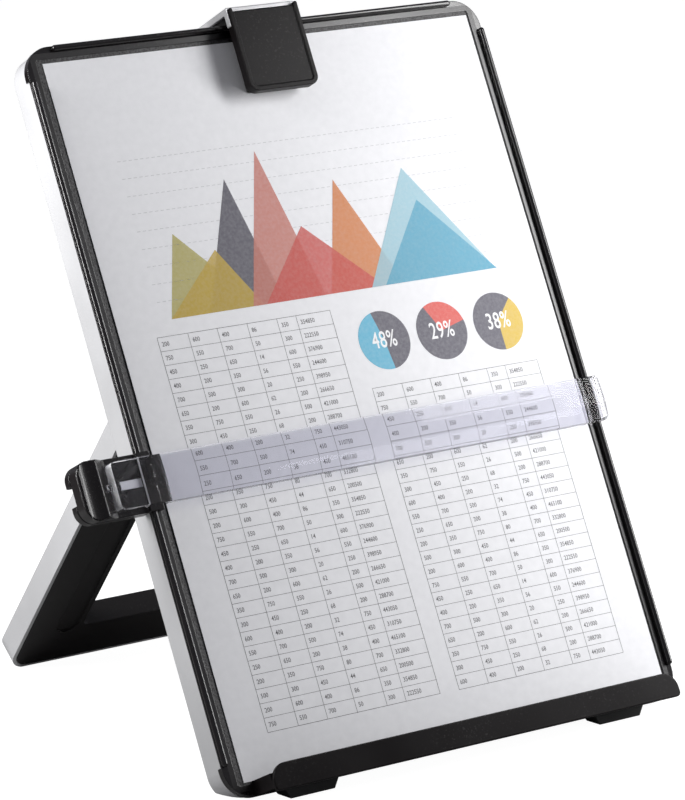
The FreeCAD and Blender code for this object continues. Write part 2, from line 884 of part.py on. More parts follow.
def clip_lever():
    """The silver cover over the lever's plate, with skirts and two lugs beside the pivot."""
    half = clip_width / 2
    base = lever_under + lever_plate
    front = clip_front - clip_plate - fit_gap
    cover = plate(
        -half, half, -front, lever_back, lever_under + lever_skirt_lift, base + lever_skin,
        [0, 0, lever_corner_radius, lever_corner_radius],
    )
    cover = blended(
        cover, lever_skin / 2,
        lambda e: abs(e.BoundBox.ZMin - base - lever_skin) < lever_skin / 4,
    )
    inner_radius = lever_corner_radius - clip_flange_wall
    pocket = plate(
        -half + clip_flange_wall, half - clip_flange_wall, -front + clip_flange_wall,
        lever_back - clip_flange_wall, lever_under - overrun, base,
        [0, 0, inner_radius, inner_radius],
    )
    under_front = box(
        -half + clip_flange_wall, half - clip_flange_wall, -front - overrun, 0,
        lever_under - overrun, board_height + clip_top_rise + fit_gap,
    )
    cover = cover.cut(union([pocket, under_front]))
    cover.Placement = lever_placement()
    reach = half - clip_flange_wall + fit_gap
    jaw_room = box(-reach, reach, 0, lever_under + lever_plate, -lever_back, clip_front)
    lugs = [lug.cut(jaw_room) for lug in lever_lug_spaces(0, front)]
    knuckle_room = rod_x(
        knuckle_radius + 3 * fit_gap, -bracket_width / 2 - leg_gap, bracket_width / 2 + leg_gap,
        pivot_y, pivot_lift,
    )
    return union([cover, *lugs]).cut(knuckle_room)


def clip_pin():
    reach = clip_width / 2 - clip_flange_wall - fit_gap
    return rod_x(pivot_pin_radius, -reach, reach, pivot_y, pivot_lift)


def clip_pad():
    """The rubber strip inside the jaw's tip that holds the sheet."""
    tip = sheet_top - clip_reach + clip_tip_inset
    z0 = sheet_thickness + pad_gap
    return plate(
        -pad_width / 2, pad_width / 2, tip, tip + pad_height, z0, z0 + pad_thickness,
        [pad_thickness] * 4,
    )


def arc_between(p0, t0, p1, d):
    """The circle arc that leaves p0 along t0 and ends at p1, with tangents d long."""
    chord = p1 - p0
    corner = p0 + t0 * d
    middle = (p0 + p1) * 0.5
    toward = corner - middle
    lean = toward.Length
    half_chord = chord.Length / 2
    angle = math.atan2(lean, half_chord)
    crown = middle + toward * (half_chord * math.tan(angle / 2) / lean)
    return Part.Arc(p0, crown, p1).toShape()


def biarc(p0, t0, p1, t1):
    """Two arcs that join two points and leave and reach them along two directions."""
    v = p1 - p0
    b = v.dot(t0 + t1)
    a = 2 * (1 - t0.dot(t1))
    d = (-b + math.sqrt(b * b + a * v.dot(v))) / a
    joint = (p0 + t0 * d + p1 - t1 * d) * 0.5
    first = arc_between(p0, t0, joint, d)
    second = arc_between(joint, (p1 - t1 * d - joint).normalize(), p1, d)
    return [first, second]


def spring_steps():
    """The quarter turns of the spring: whole turns and the half that sets its legs alike."""
    return 4 * spring_turns + 2


def spring_place(step):
    a = math.radians(180 - 90 * step)
    return vec(
        spring_pitch * (step - spring_steps() / 2) / 4,
        pivot_y + spring_radius * math.cos(a),
        pivot_lift + spring_radius * math.sin(a),
    )


def spring_heading(step):
    a = math.radians(180 - 90 * step)
    quarter = spring_radius * math.pi / 2
    climb = spring_pitch / 4 if 0 < step < spring_steps() else 0
    return vec(climb, quarter * math.sin(a), -quarter * math.cos(a)).normalize()


def spring_gap(wire):
    """The least space between the wire's turns, measured between points along it."""
    points = wire.discretize(Distance=spring_wire / 2)
    apart = int(spring_radius * math.pi / (spring_wire / 2))
    least = min(
        points[i].distanceToPoint(points[j])
        for i in range(len(points))
        for j in range(i + apart, len(points))
    )
    return least - spring_wire


def clip_spring():
    """A torsion spring round the clip's pin: one leg on the board, one under the lever."""
    steps = spring_steps()
    entry = spring_place(0) - spring_heading(0) * spring_leg
    leave = spring_place(steps) + spring_heading(steps) * spring_leg
    edges = [Part.LineSegment(entry, spring_place(0)).toShape()]
    for step in range(steps):
        edges += biarc(
            spring_place(step), spring_heading(step),
            spring_place(step + 1), spring_heading(step + 1),
        )
    edges.append(Part.LineSegment(spring_place(steps), leave).toShape())
    path = Part.Wire(edges)
    print("least gap between the spring's turns", round(spring_gap(path), 3))
    ring = Part.Circle(entry, spring_heading(0), spring_wire / 2).toShape()
    return path.makePipeShell([Part.Wire(ring)], True, False)


def slider_blank(z0, z1, right):
    return plate(
        -slider_left, -right, guide_height - slider_height / 2,
        guide_height + slider_height / 2, z0, z1,
        [slider_corner_radius, 0, 0, slider_corner_radius],
    )


def slider_front():
    """The black front of the slider, with the grip, the bar's seat and the rail's groove."""
    body = slider_blank(-slider_split, slider_front_face, slider_right)
    body = blended(
        body, slider_edge_blend,
        lambda e: abs(e.BoundBox.ZMin - slider_front_face) < slider_edge_blend / 2,
    )
    low = guide_height - slider_height
    high = guide_height + slider_height
    head_left = -slider_left + grip_width
    ridge = -slider_left + grip_ridge
    foot_right = head_left + bar_head_foot_length + fit_gap
    over_front = slider_front_face + overrun
    seat = along_y(
        [
            (ridge, slider_front_face), (head_left - fit_gap, bar_head_seat),
            (foot_right, bar_head_seat), (foot_right, bar_seat),
            (-slider_right + overrun, bar_seat), (-slider_right + overrun, over_front),
            (ridge, over_front),
        ],
        low, high,
    )
    wings = [
        box(
            -slider_wing_right, -slider_right + overrun,
            guide_height + side * bar_height / 2 - (slider_height if side < 0 else 0),
            guide_height + side * bar_height / 2 + (slider_height if side > 0 else 0),
            -overrun, over_front,
        )
        for side in (-1, 1)
    ]
    tab = box(
        head_left - bar_tab_length - fit_gap, head_left,
        guide_height - bar_tab_height / 2 - fit_gap, guide_height + bar_tab_height / 2 + fit_gap,
        bar_head_seat, over_front,
    )
    scoop = rod_y(
        grip_scoop_radius, low, high, -slider_left + grip_ridge / 2,
        slider_front_face + grip_scoop_radius - grip_scoop_depth,
    )
    over_board = box(-half_width - bar_hook_gap, 0, low, high, -overrun, slider_over_board)
    groove_x = -(half_width - bead_inset)
    groove = union([
        rod_y(bead_radius + bead_grip_gap, low, high, groove_x, bead_lift),
        box(groove_x - bead_neck_width / 2 - fit_gap, groove_x + bead_neck_width / 2 + fit_gap,
            low, high, -overrun, bead_lift),
    ])
    window = box(
        head_left + window_offset, head_left + window_offset + window_width,
        guide_height - window_height / 2, guide_height + window_height / 2,
        -overrun, over_front,
    )
    bores = [
        rod_z(small_screw_radius + fit_gap / 2, -slider_back_depth,
              -slider_split_gap - slider_split + small_screw_bite + fit_gap, x, y)
        for x, y in slider_screw_places
    ]
    return body.cut(union([seat, *wings, tab, scoop, over_board, groove, window, *bores]))


def insert_outline(grow, z0, z1):
    return box(
        -slider_left + notch_depth / 2 - grow, -slider_back_right - insert_gap + grow,
        guide_height - insert_height / 2 - grow, guide_height + insert_height / 2 + grow,
        z0, z1,
    )


def slider_back():
    """The black plate behind the slider, with a notch that shows the white insert."""
    top = -slider_split - slider_split_gap
    body = slider_blank(-slider_back_depth, top, slider_back_right)
    body = blended(
        body, slider_edge_blend,
        lambda e: abs(e.BoundBox.ZMax + slider_back_depth) < slider_edge_blend / 2,
    )
    notch = box(
        -slider_left - overrun, -slider_left + notch_depth, guide_height - notch_height / 2,
        guide_height + notch_height / 2, -slider_back_depth - overrun, overrun,
    )
    pocket = insert_outline(insert_gap, top - insert_thickness, overrun)
    seats = [
        countersunk(
            small_screw_radius, small_screw_head_radius, small_screw_head_height,
            -slider_back_depth, overrun, x, y, fit_gap / 2,
        )
        for x, y in slider_screw_places
    ]
    return body.cut(union([notch, pocket, *seats]))


def slider_insert():
    """The white friction piece: a strip behind, and a block that fills the window."""
    top = -slider_split - slider_split_gap / 2
    base_top = -slider_split - slider_split_gap
    strip = insert_outline(0, base_top - insert_thickness + insert_gap, top)
    head_left = -slider_left + grip_width
    left = head_left + window_offset
    block = box(
        left + insert_gap, left + window_width - insert_gap,
        guide_height - window_height / 2 + insert_gap,
        guide_height + window_height / 2 - insert_gap, base_top - insert_thickness / 2,
        bar_head_seat - insert_gap,
    )
    return union([strip, block])


def slider_screw(x, y):
    return countersunk(
        small_screw_radius, small_screw_head_radius, small_screw_head_height,
        -slider_back_depth, -slider_split - slider_split_gap + small_screw_bite, x, y, 0,
    )


def bar_section(belly_share):
    """The bar's outline across its length: three facets in front, a belly behind."""
    half = bar_height / 2
    facet = half * (1 - 2 * bar_facet_share)
    edge = bar_seat + bar_edge_thickness
    middle = bar_seat + bar_middle_thickness
    back_edge = bar_seat - (bar_seat - bar_belly_edge) * belly_share
    back_middle = bar_seat - (bar_seat - bar_belly) * belly_share
    points = [(-half, edge), (-facet, middle), (facet, middle), (half, edge), (half, back_edge)]
    if belly_share:
        points += [(facet, back_middle), (-facet, back_middle)]
    points += [(-half, back_edge)]
    return [(guide_height + y, z) for y, z in points]


def guide_bar():
    """The clear bar, with a head on the slider and a hook round the right rail."""
    left = -slider_left + grip_width
    right = half_width + bar_hook_gap + bar_hook_wall
    low = guide_height - bar_height / 2
    high = guide_height + bar_height / 2
    full = along_x(bar_section(0), left, right)
    head = box(left, left + bar_head_length, low, high, bar_seat, bar_head_top)
    head_foot = box(left, left + bar_head_foot_length, low, high, bar_head_seat, bar_head_top)
    corners = plate(
        left, right, low, high, -overrun, bar_head_top + overrun,
        [bar_end_radius, bar_end_radius, bar_end_radius / 2, bar_end_radius],
    )
    belly = along_x(
        bar_section(1), -slider_right + bar_belly_start,
        half_width - rim_width - bar_belly_end,
    )
    hook = box(right - bar_hook_wall, right, low, high, -bar_hook_drop,
               bar_seat + bar_edge_thickness)
    tab = box(
        left - bar_tab_length, left + fit_gap, guide_height - bar_tab_height / 2,
        guide_height + bar_tab_height / 2, bar_head_seat + insert_gap, bar_tab_top,
    )
    return union([union([full, head, head_foot, belly, hook]).common(corners), tab])


def document_sheet():
    return box(
        -sheet_width / 2 + sheet_side_shift, sheet_width / 2 + sheet_side_shift,
        sheet_bottom, sheet_top, 0, sheet_thickness,
    )


def all_pieces():
    """Every node and its solids, in the board's frame, with the leg open."""
    pieces = {
        "front_board": [front_board()],
        "back_shell": [back_shell()],
        "case_screws": [case_screw(x, y) for x, y in case_screw_places],
        "ledge": [ledge()],
        "ledge_screws": [
            small_screw(x, ledge_screw_height, -panel_thickness) for x in ledge_screw_places
        ],
        "left_front_foot": [front_foot(-1)],
        "right_front_foot": [front_foot(1)],
        "document_sheet": [document_sheet()],
        "leg_shell": [opened(leg_shell())],
        "leg_liner": [opened(leg_liner())],
        "leg_screws": [opened(leg_screw(x, y)) for x, y in leg_screw_places],
        "left_hinge_pin": [opened(hinge_pin(-1))],
        "right_hinge_pin": [opened(hinge_pin(1))],
        "clip_bracket": [clip_bracket()],
        "clip_bracket_screws": [
            small_screw(x, bracket_screw_height, -panel_thickness) for x in bracket_screw_places
        ],
        "clip_jaw": [clip_jaw()],
        "clip_lever": [clip_lever()],
        "clip_pin": [clip_pin()],
        "clip_pad": [clip_pad()],
        "clip_spring": [clip_spring()],
        "slider_front": [slider_front()],
        "slider_back": [slider_back()],
        "slider_insert": [slider_insert()],
        "slider_screws": [slider_screw(x, y) for x, y in slider_screw_places],
        "guide_bar": [guide_bar()],
    }
    return pieces


def stood_up(solids):
    """Leans the board back, puts the floor at Z = 0 and the outer box's middle at 0, 0."""
    for solid in solids:
        solid.rotate(vec(0, 0, 0), X_AXIS, 90 - tilt)
    box_all = FreeCAD.BoundBox()
    for solid in solids:
        box_all.add(solid.optimalBoundingBox())
    shift = vec(-box_all.Center.x, -box_all.Center.y, -box_all.ZMin)
    for solid in solids:
        solid.translate(shift)
    return shift


def main():
    os.makedirs("parts", exist_ok=True)
    pieces = all_pieces()
    shift = stood_up([solid for solids in pieces.values() for solid in solids])
    for name, solids in pieces.items():
        shape = solids[0] if len(solids) == 1 else Part.makeCompound(solids)
        shape.exportStep("parts/" + name + ".step")
    print("tilt from upright", round(tilt, 2), "shift", [round(v, 3) for v in shift])
    return pieces, shift


if __name__ == "__main__":
    main()
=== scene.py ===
"""Looks of a desk copy holder: a tilted board with a printed sheet, a sprung clip, a
ledge, a folding leg and a clear line guide on the side rails.

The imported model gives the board, shell, leg, ledge, feet and screws. The sheet and its
print, the clear bar, the slider, the clip and its spring are modelled here on its places.
"""

import json
import math

import bmesh
import bpy
from bpy.props import FloatProperty, FloatVectorProperty, IntProperty, PointerProperty
from bpy.types import Operator, Panel, PropertyGroup
from mathutils import Matrix, Vector


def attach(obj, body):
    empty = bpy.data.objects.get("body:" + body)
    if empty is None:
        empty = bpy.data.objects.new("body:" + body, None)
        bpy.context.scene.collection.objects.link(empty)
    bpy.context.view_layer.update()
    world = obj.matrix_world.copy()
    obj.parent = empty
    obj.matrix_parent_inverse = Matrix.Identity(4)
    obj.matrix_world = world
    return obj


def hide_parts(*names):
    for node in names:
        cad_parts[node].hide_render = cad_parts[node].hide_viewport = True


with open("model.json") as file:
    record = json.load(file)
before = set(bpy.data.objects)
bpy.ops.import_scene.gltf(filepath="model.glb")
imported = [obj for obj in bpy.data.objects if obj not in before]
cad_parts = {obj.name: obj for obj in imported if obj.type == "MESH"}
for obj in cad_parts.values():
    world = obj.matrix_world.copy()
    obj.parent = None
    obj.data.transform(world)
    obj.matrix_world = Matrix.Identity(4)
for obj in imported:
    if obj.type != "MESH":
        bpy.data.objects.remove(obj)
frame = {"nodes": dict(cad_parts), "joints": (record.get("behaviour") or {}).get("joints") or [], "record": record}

bl_info = {
    "name": "Copy Holder Looks",
    "version": (1, 0, 0),
    "blender": (4, 5, 0),
    "location": "3D View > Sidebar > Copy Holder",
    "description": "Models and finishes the visible pieces of a desk copy holder",
    "category": "Object",
}

WELD_DISTANCE = 0.000005
FLAT_ANGLE = math.radians(0.5)
SHARP_ANGLE = math.radians(35)
PAPER_SMOOTH_ANGLE = math.radians(40)
BAR_SMOOTH_ANGLE = math.radians(4)

# Each peak of the chart: its ink, then in shares of the chart where its apex stands across
# and up it and where its left and right foot stand, and how much its ink covers
PEAK_SHARES = (
    ("olive", 0.0943, 0.5149, 0.0274, 0.2852, 0.78),
    ("slate", 0.2792, 0.806, 0.139, 0.3538, 0.86),
    ("gold", 0.1987, 0.3806, 0.0274, 0.2942, 0.7),
    ("rose", 0.3866, 0.9552, 0.2613, 0.4731, 0.72),
    ("orange", 0.5865, 0.709, 0.491, 0.7088, 0.82),
    ("red", 0.4582, 0.4478, 0.3001, 0.6492, 0.72),
    ("sky", 0.7953, 0.7239, 0.6104, 0.9893, 0.72),
    ("blue", 0.8132, 0.5075, 0.6521, 0.9922, 0.7),
)
# Each pie: its wedge's ink, its number, and where the wedge starts in degrees from the top
PIES = (("blue", 48, 172), ("red", 29, 330), ("gold", 38, 44))
# How wide each column of a table is
COLUMN_SHARES = (0.174, 0.168, 0.172, 0.173, 0.112, 0.201)
# What sets each moulded material apart: grains to the metre, depths and edges in metres
FINISHES = {
    "Satin black": dict(shade="black", roughness=0.36, grains=1400.0, depth=0.00002, shine=0.1),
    "Gloss black": dict(
        shade="black", roughness=0.24, grains=700.0, depth=0.000006, wear=0.3, shine=0.3
    ),
    "Matt black": dict(shade="black", roughness=0.48, grains=1100.0, depth=0.00004, shine=0.4),
    "Silver plastic": dict(
        shade="silver", roughness=0.34, grains=2600.0, depth=0.000012, metal=0.25
    ),
    "White plastic": dict(shade="white", roughness=0.4, grains=1200.0, depth=0.00001, wear=0.2),
    "Soft rubber": dict(shade="rubber", roughness=0.75, grains=1700.0, depth=0.00005, wear=0.8),
    "Plated steel": dict(
        shade="steel", roughness=0.3, grains=3000.0, depth=0.000004, metal=1.0, edge=0.0001
    ),
}
joints = {joint["name"]: joint for joint in frame["joints"]}
ACROSS = Vector((1, 0, 0))
UP_BOARD = Vector(joints["guide_slide"]["axis"])
body_of_node = {
    node: body
    for body, nodes in frame["record"]["behaviour"]["bodies"].items()
    for node in nodes
}


def number(name, description, default):
    return FloatProperty(name=name, description=description, default=default)


def count(name, description, default):
    return IntProperty(name=name, description=description, default=default)


def length(name, description, default):
    return FloatProperty(name=name, description=description, default=default, unit="LENGTH")


def angle(name, description, default):
    return FloatProperty(
        name=name, description=description, default=math.radians(default), unit="ROTATION"
    )


def place(name, description, default):
    return FloatVectorProperty(
        name=name, description=description, default=default, subtype="XYZ", unit="LENGTH"
    )


def colour(name, description, default):
    return FloatVectorProperty(
        name=name, description=description, default=default, subtype="COLOR", min=0, max=1
    )


class HolderSizes(PropertyGroup):
    """The holder's own sizes, which the new pieces follow."""

    hinge_height: length("Hinge height", "From the board's bottom edge up to the leg's pins", 0.158)
    hinge_depth: length("Hinge depth", "From the panel's face back to the leg's pins", 0.0104)
    board_width: length("Board width", "Outer width of the board", 0.224)
    board_height: length("Board height", "Outer height of the board", 0.31)
    rim_width: length("Rim width", "Width of the smooth rim round the panel", 0.0052)
    rail_width: length("Rail width", "Width of the bead rails on the rim", 0.0025)
    rail_blend: length("Rail blend", "Width over which the rails' gloss starts", 0.00025)
    panel_blend: length("Panel blend", "Width over which the panel's grain starts", 0.0001)
    sheet_width: length("Sheet width", "Width of the paper", 0.21)
    sheet_height: length("Sheet height", "Height of the paper", 0.297)
    sheet_bottom: length("Sheet bottom", "From the board's bottom edge to the paper's", 0.006)
    sheet_shift: length("Sheet shift", "How far the paper stands right of the middle", 0.001)
    sheet_thickness: length("Sheet thickness", "Thickness of the paper", 0.0003)
    sheet_rise: length("Sheet rise", "How far the paper stands off between clip and ledge", 0.0003)
    ripple_length: length("Ripple length", "Length of the paper's slow wave", 0.19)
    spring_wire: length("Spring wire", "Thickness of the clip spring's wire", 0.0006)
    spring_radius: length("Spring radius", "Radius of the clip spring's turns", 0.0015)
    spring_pitch: length("Spring pitch", "From one turn to the next", 0.0013)
    spring_leg: length("Spring leg", "Length of each leg of the spring", 0.0058)
    spring_turns: number("Spring turns", "Turns of the spring", 4.5)
    bar_edge_radius: length("Bar edge radius", "Rounding of the clear bar's edges", 0.0003)
    slider_edge_radius: length("Slider edge radius", "Rounding of the slider's edges", 0.0004)
    clip_edge_radius: length("Clip edge radius", "Rounding of the clip's edges", 0.0003)
    edge_radius: length("Edge radius", "Rounding that every moulded edge shows", 0.0004)
    board_grain: length("Board grain", "Depth of the panel's grain", 0.00016)
    bar_rubs: length("Bar rubs", "Depth of the rubs on the clear bar", 0.00001)
    paper_fibres: length("Paper fibres", "Depth of the paper's fibres", 0.00002)
    paper_hollows: length("Paper hollows", "Depth of the paper's slow hollows", 0.0022)


class PrintSizes(PropertyGroup):
    """The layout of the print, from the paper's top left corner."""

    ink_lift: length("Ink lift", "How far the print stands on the paper", 0.00003)
    ink_step: length("Ink step", "How far one print lies over another", 0.000008)
    chart_left: length("Chart left", "Left end of the chart's lines", 0.0212)
    chart_width: length("Chart width", "Length of the chart's lines", 0.1676)
    chart_top: length("Chart top", "The chart's first line", 0.044)
    chart_base: length("Chart base", "The line that the peaks stand on", 0.111)
    chart_step: length("Chart step", "From one line to the next", 0.00742)
    dash_length: length("Dash length", "Length of one dash", 0.0016)
    dash_gap: length("Dash gap", "Space between two dashes", 0.0011)
    dash_weight: length("Dash weight", "Thickness of a dash", 0.00022)
    pie_radius: length("Pie radius", "Radius of each pie", 0.01245)
    pie_height: length("Pie height", "From the paper's top to the pies' middle", 0.1336)
    first_pie: length("First pie", "From the paper's left to the first pie's middle", 0.122)
    pie_step: length("Pie step", "From one pie to the next", 0.02915)
    row_height: length("Row height", "Height of one row of a table", 0.0058)
    left_table: length("Left table", "Left side of the left table", 0.0167)
    left_table_width: length("Left table width", "Width of the left table", 0.0834)
    left_table_top: length("Left table top", "Top of the left table", 0.1176)
    left_table_rows: count("Left rows", "Rows of the left table", 28)
    right_table: length("Right table", "Left side of the right table", 0.1096)
    right_table_width: length("Right table width", "Width of the right table", 0.0844)
    right_table_top: length("Right table top", "Top of the right table", 0.1526)
    right_table_rows: count("Right rows", "Rows of the right table", 22)
    line_weight: length("Line weight", "Thickness of a table's lines", 0.00024)
    figure_height: length("Figure height", "Type size of the tables' numbers", 0.0027)
    figure_inset: length("Figure inset", "From a column's line to its numbers", 0.0014)
    pie_figure_height: length("Pie figure height", "Type size of the pies' numbers", 0.0098)
    figure_weight: length("Figure weight", "How much the tables' numbers are thickened", 0.00002)
    pie_figure_weight: length("Pie figure weight", "How much the pies' are thickened", 0.0001)
    figure_squeeze: number("Figure squeeze", "Width share of the tables' numbers", 0.86)
    figure_drop: number("Figure drop", "Share of the type size below a row's middle", 0.34)
    pie_figure_squeeze: number("Pie figure squeeze", "Width share of the pies' numbers", 0.72)
    pie_figure_space: number("Pie figure space", "Spacing of the pies' numbers", 1.05)


class HolderColours(PropertyGroup):
    """Colours of the moulded pieces, of the print and of the room."""

    black: colour("Black plastic", "Board, ledge, slider, clip, leg face", (0.0065, 0.0052, 0.0055))
    # Painted sheen: the grain is real, but its crests are painted lighter than the black to stand in for light
    # caught on the grain's tops
    grain: colour("Grain crests", "Crests of the panel's grain", (0.05, 0.048, 0.05))
    silver: colour("Silver plastic", "Shell, leg and lever", (0.52, 0.52, 0.53))
    # Partly painted shade: the bar's grey tint is deepened so the print seen through it looks shaded, standing in
    # for the shade under the bar
    clear: colour("Clear plastic", "Line guide bar", (0.84, 0.84, 0.875))
    # Painted highlight: the bar's left end is made matt and whitish to stand in for the light that the end catches
    frosted_end_highlight: colour("Matt clear end highlight", "Left end of the bar", (0.95, 0.95, 0.97))
    bar_light: colour("Bar's light", "Light that the bar lets through", (0.88, 0.88, 0.91))
    bar_mirror: colour("Bar's mirror", "How much the bar mirrors", (0.04, 0.04, 0.04))
    white: colour("White plastic", "Friction piece", (0.86, 0.86, 0.86))
    rubber: colour("Rubber", "Feet and pad", (0.02, 0.02, 0.02))
    steel: colour("Steel", "Screws, pins and spring", (0.6, 0.61, 0.63))
    dust: colour("Dust", "Dust on moulded pieces", (0.55, 0.54, 0.52))
    board_dust: colour("Board dust", "Dust on the board", (0.5, 0.5, 0.48))
    board_wear: colour("Board wear", "Edges of the board that hands polish", (0.05, 0.05, 0.055))
    paper: colour("Paper", "The sheet", (0.86, 0.86, 0.885))
    bare: colour("Bare paper", "Numbers left white in the pies", (0.86, 0.86, 0.87))
    line: colour("Line ink", "Table lines and numbers", (0.09, 0.085, 0.095))
    dash: colour("Dash ink", "The chart's dashed lines", (0.55, 0.55, 0.57))
    slate: colour("Slate ink", "Dark peak and pies", (0.075, 0.07, 0.1))
    gold: colour("Gold ink", "First peaks and third pie", (0.62, 0.42, 0.03))
    olive: colour("Olive ink", "Pale first peak", (0.5, 0.44, 0.12))
    rose: colour("Rose ink", "Tall pale red peak", (0.63, 0.2, 0.15))
    red: colour("Red ink", "Low red peak and second pie", (0.66, 0.07, 0.05))
    orange: colour("Orange ink", "Orange peak", (0.68, 0.22, 0.05))
    sky: colour("Sky ink", "Pale blue peak", (0.36, 0.62, 0.72))
    blue: colour("Blue ink", "Low blue peak and first pie", (0.09, 0.42, 0.6))
    room: colour("Room", "Light of the white room", (0.9, 0.91, 1.0))
    floor: colour("Floor", "The floor as the object meets it", (0.4, 0.4, 0.4))
    seen_floor: colour("Seen floor", "What the seen floor adds to its glow", (0.3, 0.3, 0.3))


class StageSettings(PropertyGroup):
    """The camera's place and the strength of the studio light."""

    camera_place: place("Camera place", "Where the camera stands", (-0.9388, -1.3268, 0.6217))
    camera_heading: angle("Heading", "The camera's turn from +Y towards +X", 35.57)
    camera_drop: angle("Drop", "How far the camera looks down", 16.91)
    camera_roll: angle("Roll", "The camera's turn about its own line of sight", 1.76)
    lens: number("Lens", "Focal length in millimetres", 188.51)
    sensor: number("Sensor", "Sensor width in millimetres", 36.0)
    view_reach: length("View reach", "How far the camera sees", 100.0)
    floor_size: length("Floor size", "Side of the floor", 16.0)
    floor_glow: number("Floor glow", "Glow of the seen floor", 0.97)
    lamp_aim: place("Lamp aim", "What the lamps point at", (0.0, 0.0, 0.13))
    key_place: place("Key place", "Where the right lamp hangs", (0.37, -0.2, 0.3))
    key_width: length("Key width", "Width of the right lamp", 0.12)
    key_height: length("Key height", "Height of the right lamp", 0.5)
    key_power: number("Key power", "Watts of the right lamp", 2.95)
    side_place: place("Side place", "Where the left lamp hangs", (-0.305, 0.098, 0.243))
    side_width: length("Side width", "Width of the left lamp", 0.03)
    side_height: length("Side height", "Height of the left lamp", 0.34)
    side_power: number("Side power", "Watts of the left lamp", 1.4)
    ambient: number("Ambient", "Light of the white room", 0.12)
    mirrored: number("Mirrored room", "How bright the room shows in gloss", 0.3)


def holder():
    return bpy.context.scene.holder_sizes


def colours():
    return bpy.context.scene.holder_colours


def board_matrix():
    """From the board's own frame, x across, y up the board, z out of it, to the model's."""
    out = ACROSS.cross(UP_BOARD)
    hinge = Vector(joints["leg_fold"]["pos_m"])
    origin = hinge - UP_BOARD * holder().hinge_height + out * holder().hinge_depth
    matrix = Matrix((ACROSS, UP_BOARD, out)).transposed().to_4x4()
    matrix.translation = origin
    return matrix


# Nodes


def add(tree, kind, wires=(), **settings):
    """Adds a node; each wire is a socket to link from, or a plain value."""
    node = tree.nodes.new(kind)
    for key, value in settings.items():
        setattr(node, key, value)
    for key, value in dict(wires).items():
        if isinstance(value, bpy.types.NodeSocket):
            tree.links.new(value, node.inputs[key])
        else:
            node.inputs[key].default_value = value
    return node


def calc(tree, operation, first, second=0.0, clamp=False):
    node = add(tree, "ShaderNodeMath", {0: first, 1: second}, operation=operation, use_clamp=clamp)
    return node.outputs[0]


def product(tree, first, second):
    return calc(tree, "MULTIPLY", first, second)


def spread(tree, value, low, high, to_low=0.0, to_high=1.0):
    wires = {"Value": value, "From Min": low, "From Max": high, "To Min": to_low, "To Max": to_high}
    return add(tree, "ShaderNodeMapRange", wires).outputs["Result"]


def mixed(tree, factor, first, second):
    node = add(tree, "ShaderNodeMix", {"Factor": factor}, data_type="RGBA")
    for socket, value in zip((node.inputs[6], node.inputs[7]), (first, second)):
        if isinstance(value, bpy.types.NodeSocket):
            tree.links.new(value, socket)
        else:
            socket.default_value = (*value, 1)
    return node.outputs[2]


def mixed_values(tree, factor, first, second):
    wires = {"Factor": factor, 2: first, 3: second}
    return add(tree, "ShaderNodeMix", wires, data_type="FLOAT").outputs[0]


def noise(tree, where, rate, detail, roughness=0.5):
    """Noise with about so many blotches to the metre."""
    wires = {"Vector": where, "Scale": rate, "Detail": detail, "Roughness": roughness}
    return add(tree, "ShaderNodeTexNoise", wires).outputs[0]


def new_group(name, inputs, outputs):
    tree = bpy.data.node_groups.new(name, "ShaderNodeTree")
    for side, sockets in (("INPUT", inputs), ("OUTPUT", outputs)):
        for label, kind in sockets:
            tree.interface.new_socket(name=label, in_out=side, socket_type="NodeSocket" + kind)
    return tree, tree.nodes.new("NodeGroupInput").outputs, tree.nodes.new("NodeGroupOutput").inputs


def grain_group():
    """Fine moulded grain: a height for bump, and a slow mottle for colour and gloss."""
    tree, given, out = new_group(
        "Moulded grain",
        [("Place", "Vector"), ("Grains per metre", "Float")],
        [("Height", "Float"), ("Mottle", "Float")],
    )
    where, rate = given["Place"], given["Grains per metre"]
    cells = add(
        tree, "ShaderNodeTexVoronoi", {"Vector": where, "Scale": rate, "Randomness": 1.0},
        feature="SMOOTH_F1",
    )
    fine = noise(tree, where, product(tree, rate, 1.7), 3.0, 0.6)
    slow = noise(tree, where, 22.0, 5.0)
    coarse_part = product(tree, cells.outputs["Distance"], 0.7)
    height = calc(tree, "ADD", coarse_part, product(tree, fine, 0.5))
    tree.links.new(height, out["Height"])
    tree.links.new(spread(tree, slow, 0.3, 0.7), out["Mottle"])
    return tree


def edge_group():
    """Rounded edges: a softened normal, and a mask of the edges that hands polish."""
    tree, given, out = new_group(
        "Handled edges",
        [("Place", "Vector"), ("Width", "Float")],
        [("Edge", "Float"), ("Rounded", "Vector")],
    )
    bevel = add(tree, "ShaderNodeBevel", {"Radius": given["Width"]}, samples=4)
    faced = add(tree, "ShaderNodeNewGeometry")
    met = add(
        tree, "ShaderNodeVectorMath",
        {0: bevel.outputs[0], 1: faced.outputs["Normal"]}, operation="DOT_PRODUCT",
    )
    patch = noise(tree, given["Place"], 160.0, 4.0)
    turned_away = spread(tree, met.outputs["Value"], 0.995, 0.9)
    broken = product(tree, turned_away, spread(tree, patch, 0.35, 0.65))
    tree.links.new(broken, out["Edge"])
    tree.links.new(bevel.outputs[0], out["Rounded"])
    return tree


def dust_group():
    """Fine dust and faint rubs that lie where a surface faces up."""
    tree, given, out = new_group("Fine dust", [("Place", "Vector")], [("Dust", "Float")])
    specks = noise(tree, given["Place"], 900.0, 2.0, 0.8)
    drift = noise(tree, given["Place"], 18.0, 3.0)
    faced = add(tree, "ShaderNodeNewGeometry")
    split = add(tree, "ShaderNodeSeparateXYZ", {0: faced.outputs["Normal"]})
    upward = spread(tree, split.outputs[2], 0.1, 0.9)
    lying = product(tree, spread(tree, drift, 0.4, 0.7), upward)
    dust = product(tree, spread(tree, specks, 0.58, 0.72), lying)
    tree.links.new(dust, out["Dust"])
    return tree


def group_node(tree, maker, name, wires):
    """Places a shared effect, made the first time it is asked for."""
    group = bpy.data.node_groups.get(name) or maker()
    return add(tree, "ShaderNodeGroup", wires, node_tree=group).outputs


